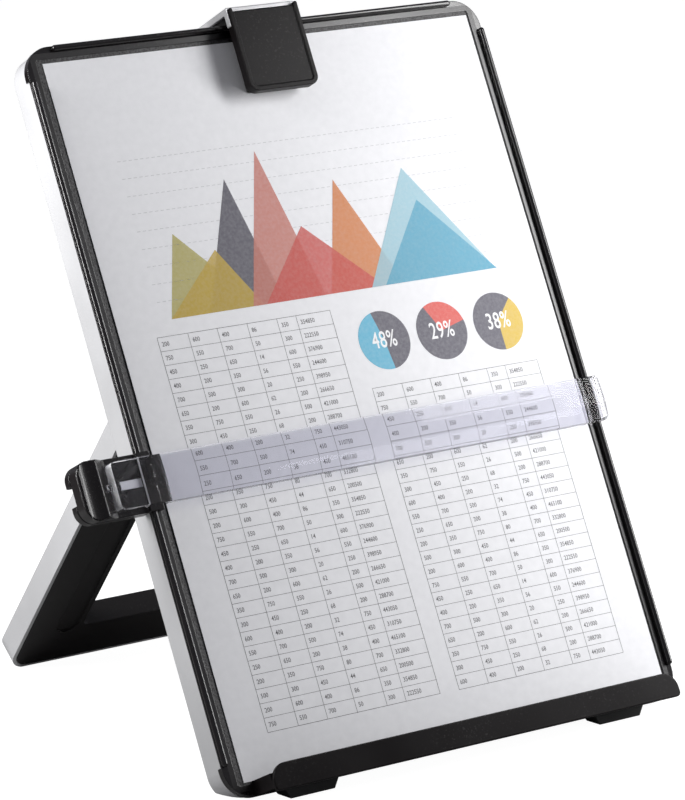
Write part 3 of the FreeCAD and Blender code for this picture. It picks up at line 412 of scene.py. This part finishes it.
def new_material(name):
    material = bpy.data.materials.new(name)
    material.use_nodes = True
    tree = material.node_tree
    tree.nodes.clear()
    surface = tree.nodes.new("ShaderNodeOutputMaterial").inputs["Surface"]
    return material, tree, surface


def object_place(tree):
    return add(tree, "ShaderNodeTexCoord").outputs["Object"]


def board_place(tree):
    """The surface's place in the board's own frame."""
    matrix = board_matrix()
    return add(
        tree, "ShaderNodeMapping",
        {"Vector": object_place(tree), "Location": matrix.translation,
         "Rotation": matrix.to_euler()},
        vector_type="TEXTURE",
    ).outputs[0]


def stretched(tree, where, scale):
    return add(tree, "ShaderNodeMapping", {"Vector": where, "Scale": scale}).outputs[0]


def principled(tree, surface, wires):
    tree.links.new(add(tree, "ShaderNodeBsdfPrincipled", wires).outputs[0], surface)


def bumped(tree, height, strength, distance, normal):
    wires = {"Height": height, "Strength": strength, "Distance": distance, "Normal": normal}
    return add(tree, "ShaderNodeBump", wires).outputs[0]


# Materials


def moulding(tree, where, grains, edge):
    """The grain, the handled edges and the dust of moulded plastic."""
    wires = {"Place": where, "Grains per metre": grains}
    grain = group_node(tree, grain_group, "Moulded grain", wires)
    edges = group_node(tree, edge_group, "Handled edges", {"Place": where, "Width": edge})
    dust = group_node(tree, dust_group, "Fine dust", {"Place": where})
    return grain, edges, dust["Dust"]


def moulded(name, shade, roughness, grains, depth, wear=0.5, metal=0.0, shine=0.5, edge=None):
    """Moulded plastic: grain, mottled gloss, worn edges and dust."""
    material, tree, surface = new_material(name)
    tint = getattr(colours(), shade)
    edge = edge or holder().edge_radius
    grain, edges, dust = moulding(tree, object_place(tree), grains, edge)
    pale = tuple(min(1.0, part * 1.12 + 0.004) for part in tint)
    worn = tuple(min(1.0, part * 1.25 + 0.03 * wear) for part in tint)
    base = mixed(tree, grain["Mottle"], tint, pale)
    base = mixed(tree, product(tree, edges["Edge"], wear), base, worn)
    base = mixed(tree, product(tree, dust, 0.12), base, colours().dust)
    gloss = spread(tree, grain["Mottle"], 0.0, 1.0, roughness * 0.88, roughness * 1.14)
    gloss = calc(tree, "SUBTRACT", gloss, product(tree, edges["Edge"], 0.08 * wear))
    gloss = calc(tree, "ADD", gloss, product(tree, dust, 0.2), clamp=True)
    principled(
        tree, surface,
        {"Base Color": base, "Roughness": gloss, "Metallic": metal, "IOR": 1.5,
         "Specular IOR Level": shine,
         "Normal": bumped(tree, grain["Height"], 0.5, depth, edges["Rounded"])},
    )
    return material


def finish(name):
    """A moulded material, made the first time it is asked for."""
    return bpy.data.materials.get(name) or moulded(name, **FINISHES[name])


def board_black():
    """The board: a leather-like grain inside the rim, its crests painted lighter as a painted sheen, and a smooth
    satin rim and rails.
    """
    material, tree, surface = new_material("Board black")
    sizes = holder()
    where = board_place(tree)
    split = add(tree, "ShaderNodeSeparateXYZ", {0: where}).outputs
    across = calc(tree, "ABSOLUTE", split[0])
    side = calc(tree, "SUBTRACT", sizes.board_width / 2 - sizes.rim_width, across)
    low = calc(tree, "SUBTRACT", split[1], sizes.rim_width)
    high = calc(tree, "SUBTRACT", sizes.board_height - sizes.rim_width, split[1])
    inside = calc(tree, "MINIMUM", side, calc(tree, "MINIMUM", low, high))
    panel = spread(tree, inside, -sizes.panel_blend / 2, sizes.panel_blend / 2)
    grain, edges, dust = moulding(tree, where, 1250.0, sizes.edge_radius)
    # Painted sheen: the panel's grain crests are painted lighter
    sheen_on_crests = spread(tree, grain["Height"], 0.42, 0.62)
    tints = colours()
    base = mixed(tree, product(tree, panel, sheen_on_crests), tints.black, tints.grain)
    base = mixed(tree, product(tree, edges["Edge"], 0.4), base, tints.board_wear)
    base = mixed(tree, product(tree, dust, 0.15), base, tints.board_dust)
    rail_edge = sizes.rail_width - sizes.rim_width
    rail = spread(tree, inside, rail_edge + sizes.rail_blend, rail_edge)
    gloss = spread(tree, panel, 0.0, 1.0, 0.28, 0.5)
    gloss = mixed_values(tree, rail, gloss, 0.13)
    gloss = calc(tree, "ADD", gloss, product(tree, grain["Mottle"], 0.05), clamp=True)
    depth = spread(tree, panel, 0.0, 1.0, 0.04, 1.0)
    height = product(tree, grain["Height"], depth)
    principled(
        tree, surface,
        {"Base Color": base, "Roughness": gloss, "IOR": 1.5, "Specular IOR Level": 0.5,
         "Normal": bumped(tree, height, 0.8, sizes.board_grain, edges["Rounded"])},
    )
    return material


def clear_plastic():
    """Polished clear plastic that lets lamps through, with faint rubs and a matt, whitened left end that is a
    painted highlight.

    It mirrors little, or a lamp's image would burn out the print behind it.
    """
    material, tree, surface = new_material("Clear plastic")
    sizes, tints = holder(), colours()
    streaks = stretched(tree, object_place(tree), (40.0, 900.0, 900.0))
    rubs = noise(tree, streaks, 1.0, 4.0)
    gloss = spread(tree, rubs, 0.35, 0.75, 0.02, 0.06)
    faced = add(tree, "ShaderNodeNewGeometry").outputs
    across = add(tree, "ShaderNodeSeparateXYZ", {0: board_place(tree)}).outputs[0]
    turned = add(tree, "ShaderNodeSeparateXYZ", {0: faced["True Normal"]}).outputs[0]
    side = -sizes.board_width / 2
    past_board = spread(tree, across, side, side - sizes.rail_width)
    # Painted highlight: the end faces past the board's left edge turn matt and whitish
    matt = product(tree, past_board, spread(tree, turned, -0.5, -0.8))
    glass = add(
        tree, "ShaderNodeBsdfPrincipled",
        # The clear tint is partly painted shade for the print under the bar
        {"Base Color": mixed(tree, matt, tints.clear, tints.frosted_end_highlight),
         "Roughness": mixed_values(tree, matt, gloss, 0.5), "IOR": 1.49,
         "Specular Tint": (*tints.bar_mirror, 1),
         "Transmission Weight": mixed_values(tree, matt, 1.0, 0.1),
         "Normal": bumped(tree, rubs, 0.1, sizes.bar_rubs, faced["Normal"])},
    )
    through = add(tree, "ShaderNodeBsdfTransparent", {"Color": (*tints.bar_light, 1)})
    path = add(tree, "ShaderNodeLightPath").outputs
    soft = calc(tree, "MAXIMUM", path["Is Shadow Ray"], path["Is Diffuse Ray"])
    mix = add(tree, "ShaderNodeMixShader", {0: soft, 1: glass.outputs[0], 2: through.outputs[0]})
    tree.links.new(mix.outputs[0], surface)
    return material


def paper():
    """Office paper: fibres, cloudy formation and slow hollows."""
    material, tree, surface = new_material("Office paper")
    where = board_place(tree)
    fibre = noise(tree, stretched(tree, where, (1.0, 2.2, 1.0)), 1400.0, 6.0, 0.7)
    cloud = noise(tree, where, 320.0, 3.0)
    slow = noise(tree, where, 9.0, 1.0)
    tint = colours().paper
    cloudy = tuple(part * 0.965 for part in tint)
    base = mixed(tree, spread(tree, cloud, 0.3, 0.7), tint, cloudy)
    normal = add(tree, "ShaderNodeNewGeometry").outputs["Normal"]
    lumps = bumped(tree, slow, 0.35, holder().paper_hollows, normal)
    principled(
        tree, surface,
        {"Base Color": base, "Roughness": spread(tree, cloud, 0.3, 0.7, 0.62, 0.78),
         "Normal": bumped(tree, fibre, 0.25, holder().paper_fibres, lumps)},
    )
    return material


def ink(name, tint, cover=1.0):
    """Ink on paper, a little uneven where the fibres drink it."""
    material, tree, surface = new_material(name)
    uneven = noise(tree, board_place(tree), 700.0, 5.0)
    faded = tuple(part + 0.12 * (1 - part) for part in tint)
    base = mixed(tree, spread(tree, uneven, 0.35, 0.75), tint, faded)
    gloss = spread(tree, uneven, 0.3, 0.7, 0.5, 0.65)
    principled(tree, surface, {"Base Color": base, "Roughness": gloss, "Alpha": cover})
    return material


# Modelling


def start_piece():
    if bpy.context.mode != "OBJECT":
        bpy.ops.object.mode_set(mode="OBJECT")
    bpy.ops.object.select_all(action="DESELECT")


def only(piece):
    start_piece()
    piece.select_set(True)
    bpy.context.view_layer.objects.active = piece


def named(name):
    piece = bpy.context.view_layer.objects.active
    piece.name = name
    piece.data.name = name
    return piece


def edit(piece):
    """Opens a piece's mesh with all of it selected."""
    only(piece)
    bpy.ops.object.mode_set(mode="EDIT")
    bpy.ops.mesh.select_all(action="SELECT")


def leave_edit():
    bpy.ops.object.mode_set(mode="OBJECT")


def apply_all(piece):
    only(piece)
    for modifier in list(piece.modifiers):
        bpy.ops.object.modifier_apply(modifier=modifier.name)


def settle(piece):
    """Puts a piece's own place, turn and scale into its mesh."""
    piece.data.transform(piece.matrix_basis)
    piece.matrix_basis = Matrix.Identity(4)
    return piece


def give(piece, *materials):
    piece.data.materials.clear()
    for material in materials:
        piece.data.materials.append(material)


def stand_on_board(piece, node):
    """Moves a piece drawn in the board's frame to the model's, to ride with a node."""
    settle(piece)
    piece.data.transform(board_matrix())
    piece.data.update()
    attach(piece, body_of_node[node])
    return piece


def softened_copy(node, name, radius, material, smooth=SHARP_ANGLE):
    """A node's shape, merged and cleaned, with all its sharp edges rounded."""
    only(frame["nodes"][node])
    bpy.ops.object.duplicate()
    piece = named(name)
    for key in list(piece.keys()):
        del piece[key]
    piece.parent = None
    edit(piece)
    bpy.ops.mesh.remove_doubles(threshold=WELD_DISTANCE)
    bpy.ops.mesh.dissolve_limited(angle_limit=FLAT_ANGLE)
    leave_edit()
    bpy.ops.mesh.customdata_custom_splitnormals_clear()
    bevel = piece.modifiers.new("Rounded edges", "BEVEL")
    bevel.width = radius
    bevel.segments = 3
    bevel.limit_method = "ANGLE"
    bevel.angle_limit = SHARP_ANGLE
    bevel.use_clamp_overlap = False
    bevel.miter_outer = "MITER_ARC"
    apply_all(piece)
    bpy.ops.object.shade_smooth_by_angle(angle=smooth)
    even = piece.modifiers.new("Even shading", "WEIGHTED_NORMAL")
    even.keep_sharp = True
    even.weight = 100
    apply_all(piece)
    give(piece, material)
    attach(piece, body_of_node[node])
    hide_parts(node)


def finish_node(node, name):
    give(frame["nodes"][node], finish(name))


def sheet_lift(x, y):
    """How far the paper stands off the panel there: flat at the clip and at the ledge."""
    sizes = holder()
    up = min(1.0, max(0.0, (y - sizes.sheet_bottom) / sizes.sheet_height))
    held = math.sin(math.pi * up) ** 2
    lean_share = 0.35
    turns = x / sizes.ripple_length + lean_share * up
    ripple = 0.5 - 0.5 * math.cos(2 * math.pi * turns)
    return sizes.sheet_rise * held * ripple


def lay_on_sheet(piece, lift):
    """Drops flat print, drawn from the paper's top left corner, on to the paper."""
    settle(piece)
    sizes = holder()
    left = sizes.sheet_shift - sizes.sheet_width / 2
    top = sizes.sheet_bottom + sizes.sheet_height
    for vertex in piece.data.vertices:
        x, y = left + vertex.co.x, top + vertex.co.y
        vertex.co = (x, y, sizes.sheet_thickness + sheet_lift(x, y) + lift + vertex.co.z)
    return stand_on_board(piece, "document_sheet")


def joined(pieces, name):
    start_piece()
    for piece in pieces:
        piece.select_set(True)
    bpy.context.view_layer.objects.active = pieces[0]
    bpy.ops.object.join()
    return named(name)


def face_out(piece):
    """Turns flat print so that it faces the reader."""
    edit(piece)
    bpy.ops.mesh.normals_make_consistent(inside=False)
    leave_edit()
    if piece.data.polygons[0].normal.z < 0:
        piece.data.flip_normals()


def typed(name, body, where, squeeze, **settings):
    """Type as a flat mesh."""
    start_piece()
    bpy.ops.object.text_add(location=where)
    text = bpy.context.view_layer.objects.active
    text.data.body = body
    text.scale.x = squeeze
    for key, value in settings.items():
        setattr(text.data, key, value)
    bpy.ops.object.convert(target="MESH")
    return settle(named(name))


class HOLDER_OT_board(Operator):
    """Finish the board, its rim and its bead rails."""

    bl_idname = "holder.board"
    bl_label = "Board"

    def execute(self, context):
        give(frame["nodes"]["front_board"], board_black())
        return {"FINISHED"}


class HOLDER_OT_shell(Operator):
    """Finish the silver shell and the silver outside of the leg."""

    bl_idname = "holder.shell"
    bl_label = "Shell and leg"

    def execute(self, context):
        finish_node("back_shell", "Silver plastic")
        finish_node("leg_shell", "Silver plastic")
        finish_node("leg_liner", "Matt black")
        return {"FINISHED"}


class HOLDER_OT_ledge(Operator):
    """Finish the ledge that the paper stands on, and its rubber feet."""

    bl_idname = "holder.ledge"
    bl_label = "Ledge and feet"

    def execute(self, context):
        finish_node("ledge", "Satin black")
        finish_node("left_front_foot", "Soft rubber")
        finish_node("right_front_foot", "Soft rubber")
        return {"FINISHED"}


class HOLDER_OT_fixings(Operator):
    """Finish the screws and pins."""

    bl_idname = "holder.fixings"
    bl_label = "Screws and pins"

    def execute(self, context):
        for node in frame["nodes"]:
            if node.endswith(("_screws", "_pin")):
                finish_node(node, "Plated steel")
        return {"FINISHED"}


class HOLDER_OT_clip(Operator):
    """Model the clip's jaw and lever with rounded edges, and finish its bracket and pad."""

    bl_idname = "holder.clip"
    bl_label = "Clip"

    def execute(self, context):
        radius = holder().clip_edge_radius
        satin, silver = finish("Satin black"), finish("Silver plastic")
        softened_copy("clip_jaw", "sprung_jaw", radius, satin)
        softened_copy("clip_lever", "press_lever", radius, silver)
        finish_node("clip_bracket", "Satin black")
        finish_node("clip_pad", "Soft rubber")
        return {"FINISHED"}


class HOLDER_OT_clip_spring(Operator):
    """Wind the clip's torsion spring, one wire with a straight leg at each end."""

    bl_idname = "holder.clip_spring"
    bl_label = "Clip spring"

    def execute(self, context):
        sizes = holder()
        start_piece()
        half = sizes.spring_pitch * sizes.spring_turns / 2
        sides, steps_per_turn = 12, 24
        bpy.ops.mesh.primitive_circle_add(
            vertices=sides, radius=sizes.spring_wire / 2,
            location=(-half, -sizes.spring_radius, 0), fill_type="NOTHING",
        )
        spring = settle(named("wound_spring"))
        screw = spring.modifiers.new("Turns", "SCREW")
        screw.axis = "X"
        screw.angle = -2 * math.pi * sizes.spring_turns
        screw.screw_offset = 2 * half
        screw.steps = screw.render_steps = int(steps_per_turn * sizes.spring_turns)
        screw.use_merge_vertices = False
        apply_all(spring)
        self.draw_legs(spring, half, sizes.spring_leg)
        bpy.ops.object.shade_smooth()
        settle(spring)
        pivot = Vector(joints["clip_press"]["pos_m"])
        seat = board_matrix()
        seat.translation = pivot
        spring.data.transform(seat)
        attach(spring, body_of_node["clip_spring"])
        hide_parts("clip_spring")
        give(spring, finish("Plated steel"))
        return {"FINISHED"}

    def draw_legs(self, spring, half, reach):
        """Draws each open end of the wound wire straight back, and closes it."""
        for end in (-1, 1):
            edit(spring)
            bpy.ops.mesh.select_mode(type="EDGE")
            bpy.ops.mesh.select_all(action="DESELECT")
            mesh = bmesh.from_edit_mesh(spring.data)
            for edge in mesh.edges:
                middle = (edge.verts[0].co + edge.verts[1].co) / 2
                if edge.is_boundary and end * middle.x > half / 2:
                    edge.select_set(True)
            bmesh.update_edit_mesh(spring.data)
            bpy.ops.mesh.extrude_region_move(TRANSFORM_OT_translate={"value": (0, 0, -reach)})
            bpy.ops.mesh.edge_face_add()
            bpy.ops.mesh.select_all(action="SELECT")
            bpy.ops.mesh.normals_make_consistent(inside=False)
            leave_edit()


class HOLDER_OT_line_guide(Operator):
    """Model the slider with rounded edges, and finish its friction piece."""

    bl_idname = "holder.line_guide"
    bl_label = "Line guide slider"

    def execute(self, context):
        radius = holder().slider_edge_radius
        gloss = finish("Gloss black")
        softened_copy("slider_front", "guide_grip", radius, gloss)
        softened_copy("slider_back", "guide_back", radius, gloss)
        finish_node("slider_insert", "White plastic")
        return {"FINISHED"}


class HOLDER_OT_clear_bar(Operator):
    """Model the clear bar with polished, rounded edges."""

    bl_idname = "holder.clear_bar"
    bl_label = "Clear bar"

    def execute(self, context):
        softened_copy(
            "guide_bar", "clear_bar", holder().bar_edge_radius,
            clear_plastic(), BAR_SMOOTH_ANGLE,
        )
        return {"FINISHED"}


class HOLDER_OT_sheet(Operator):
    """Lay the sheet of paper, a little off the panel between clip and ledge."""

    bl_idname = "holder.sheet"
    bl_label = "Sheet"

    def execute(self, context):
        sizes = holder()
        start_piece()
        cells_across, cells_up = 44, 62
        bpy.ops.mesh.primitive_grid_add(
            x_subdivisions=cells_across, y_subdivisions=cells_up, size=1
        )
        sheet = named("paper_sheet")
        sheet.scale = (sizes.sheet_width, sizes.sheet_height, 1)
        sheet.location = (sizes.sheet_shift, sizes.sheet_bottom + sizes.sheet_height / 2, 0)
        settle(sheet)
        for vertex in sheet.data.vertices:
            lift = sheet_lift(vertex.co.x, vertex.co.y)
            vertex.co.z = sizes.sheet_thickness + lift
        thick = sheet.modifiers.new("Thickness", "SOLIDIFY")
        thickness_share = 0.9
        thick.thickness = sizes.sheet_thickness * thickness_share
        thick.offset = -1
        apply_all(sheet)
        bpy.ops.object.shade_smooth_by_angle(angle=PAPER_SMOOTH_ANGLE)
        stand_on_board(sheet, "document_sheet")
        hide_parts("document_sheet")
        give(sheet, paper())
        return {"FINISHED"}


class HOLDER_OT_chart(Operator):
    """Print the chart: dashed lines and a row of see-through peaks."""

    bl_idname = "holder.chart"
    bl_label = "Chart"

    def execute(self, context):
        layout = context.scene.print_sizes
        self.print_dashes(layout)
        self.print_peaks(layout)
        return {"FINISHED"}

    def print_dashes(self, layout):
        start_piece()
        bpy.ops.mesh.primitive_plane_add(size=1)
        dashes = named("chart_lines")
        dashes.scale = (layout.dash_length, layout.dash_weight, 1)
        dashes.location = (layout.chart_left + layout.dash_length / 2, -layout.chart_top, 0)
        settle(dashes)
        pitch = layout.dash_length + layout.dash_gap
        columns = int(layout.chart_width / pitch)
        rows = int((layout.chart_base - layout.chart_top) / layout.chart_step)
        for step, times in (((pitch, 0, 0), columns), ((0, -layout.chart_step, 0), rows)):
            copies = dashes.modifiers.new("Copies", "ARRAY")
            copies.use_relative_offset = False
            copies.use_constant_offset = True
            copies.constant_offset_displace = step
            copies.count = times
        apply_all(dashes)
        give(dashes, ink("Dash ink", colours().dash))
        lay_on_sheet(dashes, layout.ink_lift)

    def print_peaks(self, layout):
        """Each peak is a flat triangle that stands on the chart's base line."""
        chart_height = layout.chart_base - layout.chart_top
        pieces = []
        for order, (shade, apex_across, apex_up, left, right, cover) in enumerate(PEAK_SHARES):
            start_piece()
            bpy.ops.mesh.primitive_circle_add(vertices=3, radius=1, fill_type="NGON")
            peak = named("peak")
            corners = ((apex_across, apex_up), (left, 0), (right, 0))
            for vertex, (across, up) in zip(peak.data.vertices, corners):
                x = layout.chart_left + across * layout.chart_width
                y = up * chart_height - layout.chart_base
                vertex.co = (x, y, order * layout.ink_step)
            edit(peak)
            bpy.ops.mesh.subdivide(number_cuts=10)
            leave_edit()
            face_out(peak)
            give(peak, ink("Peak " + shade, getattr(colours(), shade), cover))
            pieces.append(peak)
        lay_on_sheet(joined(pieces, "chart_peaks"), layout.ink_lift)


class HOLDER_OT_pies(Operator):
    """Print the three pies with their plain numbers."""

    bl_idname = "holder.pies"
    bl_label = "Pies"

    def execute(self, context):
        layout = context.scene.print_sizes
        shades = colours()
        slate = ink("Slate ink", shades.slate)
        white = ink("Bare paper", shades.bare)
        pieces = []
        for order, (shade, value, start) in enumerate(PIES):
            x = layout.first_pie + order * layout.pie_step
            whole = self.disc(x, layout, 0)
            give(whole, slate)
            wedge = self.disc(x, layout, layout.ink_step)
            self.keep_wedge(wedge, x, layout, start, value)
            give(wedge, ink("Pie " + shade, getattr(shades, shade)))
            figures = self.figures(x, layout, value)
            give(figures, white)
            pieces += [whole, wedge, figures]
        lay_on_sheet(joined(pieces, "share_pies"), layout.ink_lift)
        return {"FINISHED"}

    def disc(self, x, layout, lift):
        start_piece()
        bpy.ops.mesh.primitive_circle_add(
            vertices=100, radius=layout.pie_radius, fill_type="TRIFAN",
            location=(x, -layout.pie_height, lift),
        )
        disc = settle(named("disc"))
        face_out(disc)
        return disc

    def keep_wedge(self, wedge, x, layout, start, value):
        """Leaves only the faces of a fan that lie in the wedge, start in degrees."""
        edit(wedge)
        bpy.ops.mesh.select_mode(type="FACE")
        bpy.ops.mesh.select_all(action="DESELECT")
        mesh = bmesh.from_edit_mesh(wedge.data)
        for face in mesh.faces:
            middle = face.calc_center_median()
            turn = math.degrees(math.atan2(middle.x - x, middle.y + layout.pie_height))
            if (turn - start) % 360 > value / 100 * 360:
                face.select_set(True)
        bmesh.update_edit_mesh(wedge.data)
        bpy.ops.mesh.delete(type="FACE")
        leave_edit()

    def figures(self, x, layout, value):
        where = (x, -layout.pie_height, 2 * layout.ink_step)
        return typed(
            "figures", f"{value}%", where, layout.pie_figure_squeeze,
            size=layout.pie_figure_height, align_x="CENTER", align_y="CENTER", resolution_u=4,
            offset=layout.pie_figure_weight, space_character=layout.pie_figure_space,
        )


class HOLDER_OT_tables(Operator):
    """Print the two tables, their lines and their plain numbers."""

    bl_idname = "holder.tables"
    bl_label = "Tables"

    def execute(self, context):
        layout = context.scene.print_sizes
        line_ink = ink("Line ink", colours().line)
        lines, figures = [], []
        for side in ("left", "right"):
            first_x = getattr(layout, side + "_table")
            width = getattr(layout, side + "_table_width")
            top = getattr(layout, side + "_table_top")
            rows = getattr(layout, side + "_table_rows")
            edges = [first_x]
            for column_share in COLUMN_SHARES:
                edges.append(edges[-1] + column_share * width)
            lines.append(self.rule_lines(edges, top, rows, layout))
            for column, x in enumerate(edges[:-1]):
                figures.append(self.write_column(column, x, top, rows, layout))
        for pieces, name in ((lines, "table_lines"), (figures, "table_figures")):
            piece = joined(pieces, name)
            give(piece, line_ink)
            lay_on_sheet(piece, layout.ink_lift)
        return {"FINISHED"}

    def rule_lines(self, edges, top, rows, layout):
        """A grid whose columns are set to the table's, with its faces hollowed out."""
        start_piece()
        bpy.ops.mesh.primitive_grid_add(x_subdivisions=len(edges) - 1, y_subdivisions=rows, size=1)
        grid = named("rules")
        for vertex in grid.data.vertices:
            column = round((vertex.co.x + 0.5) * (len(edges) - 1))
            row = round((0.5 - vertex.co.y) * rows)
            vertex.co = (edges[column], -top - row * layout.row_height, 0)
        wire = grid.modifiers.new("Rules", "WIREFRAME")
        wire.thickness = layout.line_weight
        wire.use_even_offset = False
        wire.use_relative_offset = False
        wire.use_boundary = True
        apply_all(grid)
        flat_share = 0.1
        for vertex in grid.data.vertices:
            vertex.co.z *= flat_share
        return grid

    def write_column(self, column, x, top, rows, layout):
        body = "\n".join(self.figure(row, column) for row in range(rows))
        drop = layout.row_height / 2 + layout.figure_height * layout.figure_drop
        where = (x + layout.figure_inset, -top - drop, 0)
        return typed(
            "column", body, where, layout.figure_squeeze, size=layout.figure_height,
            space_line=layout.row_height / layout.figure_height, resolution_u=2,
            offset=layout.figure_weight,
        )

    def figure(self, row, column):
        """A plain number for a place in the table, which steps about as the rows go down."""
        step = (row * 7 + column * 4) % 13
        lowest_code, code_step = 200500, 22050
        lowest_count, count_step = 14, 6
        lowest_sum, sum_step = 200, 50
        if column == 5:
            return str(lowest_code + code_step * step)
        if column == 3:
            return str(lowest_count + count_step * step)
        return str(lowest_sum + sum_step * ((step * 5) % 12))


class HOLDER_OT_stage(Operator):
    """Set the white floor, the soft lamps, the white room and the camera."""

    bl_idname = "holder.stage"
    bl_label = "Stage"

    def execute(self, context):
        settings = context.scene.stage_settings
        self.lay_floor(settings)
        self.light_room(context, settings)
        self.hang_lamp(settings, "Right softbox", "key")
        self.hang_lamp(settings, "Left softbox", "side")
        self.set_camera(context, settings)
        context.scene.view_settings.view_transform = "Standard"
        return {"FINISHED"}

    def lay_floor(self, settings):
        start_piece()
        bpy.ops.mesh.primitive_plane_add(size=settings.floor_size)
        floor = named("floor")
        material, tree, surface = new_material("White floor")
        path = add(tree, "ShaderNodeLightPath").outputs
        seen = calc(tree, "MAXIMUM", path["Is Camera Ray"], path["Is Transmission Ray"])
        matt = add(tree, "ShaderNodeBsdfDiffuse", {"Color": (*colours().floor, 1)})
        dim = add(tree, "ShaderNodeBsdfDiffuse", {"Color": (*colours().seen_floor, 1)})
        white = (1, 1, 1, 1)
        glow = add(tree, "ShaderNodeEmission", {"Color": white, "Strength": settings.floor_glow})
        lit = add(tree, "ShaderNodeAddShader", {0: dim.outputs[0], 1: glow.outputs[0]})
        mix = add(tree, "ShaderNodeMixShader", {0: seen, 1: matt.outputs[0], 2: lit.outputs[0]})
        tree.links.new(mix.outputs[0], surface)
        give(floor, material)

    def light_room(self, context, settings):
        world = bpy.data.worlds.new("White room")
        context.scene.world = world
        world.use_nodes = True
        tree = world.node_tree
        tree.nodes.clear()
        path = add(tree, "ShaderNodeLightPath").outputs
        seen = calc(tree, "MAXIMUM", path["Is Camera Ray"], path["Is Transmission Ray"])
        white = add(tree, "ShaderNodeBackground", {"Color": (1, 1, 1, 1), "Strength": 1.0})
        strength = spread(
            tree, path["Is Glossy Ray"], 0.0, 1.0, settings.ambient, settings.mirrored
        )
        room = add(
            tree, "ShaderNodeBackground", {"Color": (*colours().room, 1), "Strength": strength}
        )
        mix = add(tree, "ShaderNodeMixShader", {0: seen, 1: room.outputs[0], 2: white.outputs[0]})
        out = tree.nodes.new("ShaderNodeOutputWorld")
        tree.links.new(mix.outputs[0], out.inputs["Surface"])

    def hang_lamp(self, settings, name, prefix):
        """Hangs a soft box by the settings that start with the prefix."""
        start_piece()
        spot = getattr(settings, prefix + "_place")
        toward = Vector(settings.lamp_aim) - Vector(spot)
        turn = toward.to_track_quat("-Z", "Y").to_euler()
        bpy.ops.object.light_add(type="AREA", location=spot, rotation=turn)
        lamp = bpy.context.view_layer.objects.active
        lamp.name = name
        lamp.data.energy = getattr(settings, prefix + "_power")
        lamp.data.shape = "RECTANGLE"
        lamp.data.size = getattr(settings, prefix + "_width")
        lamp.data.size_y = getattr(settings, prefix + "_height")

    def set_camera(self, context, settings):
        start_piece()
        bpy.ops.object.camera_add(location=settings.camera_place)
        camera = bpy.context.view_layer.objects.active
        turn = (
            Matrix.Rotation(-settings.camera_heading, 4, "Z")
            @ Matrix.Rotation(math.pi / 2 - settings.camera_drop, 4, "X")
            @ Matrix.Rotation(settings.camera_roll, 4, "Z")
        )
        camera.matrix_world = Matrix.Translation(settings.camera_place) @ turn
        camera.data.lens = settings.lens
        camera.data.sensor_width = settings.sensor
        camera.data.clip_end = settings.view_reach
        context.scene.camera = camera


OPERATORS = (
    HOLDER_OT_board,
    HOLDER_OT_shell,
    HOLDER_OT_ledge,
    HOLDER_OT_fixings,
    HOLDER_OT_clip,
    HOLDER_OT_clip_spring,
    HOLDER_OT_line_guide,
    HOLDER_OT_clear_bar,
    HOLDER_OT_sheet,
    HOLDER_OT_chart,
    HOLDER_OT_pies,
    HOLDER_OT_tables,
    HOLDER_OT_stage,
)
SETTINGS = {
    "holder_sizes": HolderSizes,
    "print_sizes": PrintSizes,
    "holder_colours": HolderColours,
    "stage_settings": StageSettings,
}


class HOLDER_PT_panel(Panel):
    """Lists the holder's pieces and settings."""

    bl_idname = "HOLDER_PT_panel"
    bl_label = "Copy Holder"
    bl_space_type = "VIEW_3D"
    bl_region_type = "UI"
    bl_category = "Copy Holder"

    def draw(self, context):
        for operator in OPERATORS:
            self.layout.operator(operator.bl_idname)
        for name, group in SETTINGS.items():
            box = self.layout.box()
            for key in group.__annotations__:
                box.prop(getattr(context.scene, name), key)


def register():
    for group in SETTINGS.values():
        bpy.utils.register_class(group)
    for operator in OPERATORS:
        bpy.utils.register_class(operator)
    bpy.utils.register_class(HOLDER_PT_panel)
    for name, group in SETTINGS.items():
        setattr(bpy.types.Scene, name, PointerProperty(type=group))


def unregister():
    for name in SETTINGS:
        delattr(bpy.types.Scene, name)
    bpy.utils.unregister_class(HOLDER_PT_panel)
    for operator in reversed(OPERATORS):
        bpy.utils.unregister_class(operator)
    for group in reversed(list(SETTINGS.values())):
        bpy.utils.unregister_class(group)


def main():
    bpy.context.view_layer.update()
    register()
    bpy.ops.holder.stage()
    bpy.ops.holder.board()
    bpy.ops.holder.shell()
    bpy.ops.holder.ledge()
    bpy.ops.holder.fixings()
    bpy.ops.holder.clip()
    bpy.ops.holder.clip_spring()
    bpy.ops.holder.line_guide()
    bpy.ops.holder.clear_bar()
    bpy.ops.holder.sheet()
    bpy.ops.holder.chart()
    bpy.ops.holder.pies()
    bpy.ops.holder.tables()


if __name__ == "__main__":
    main()
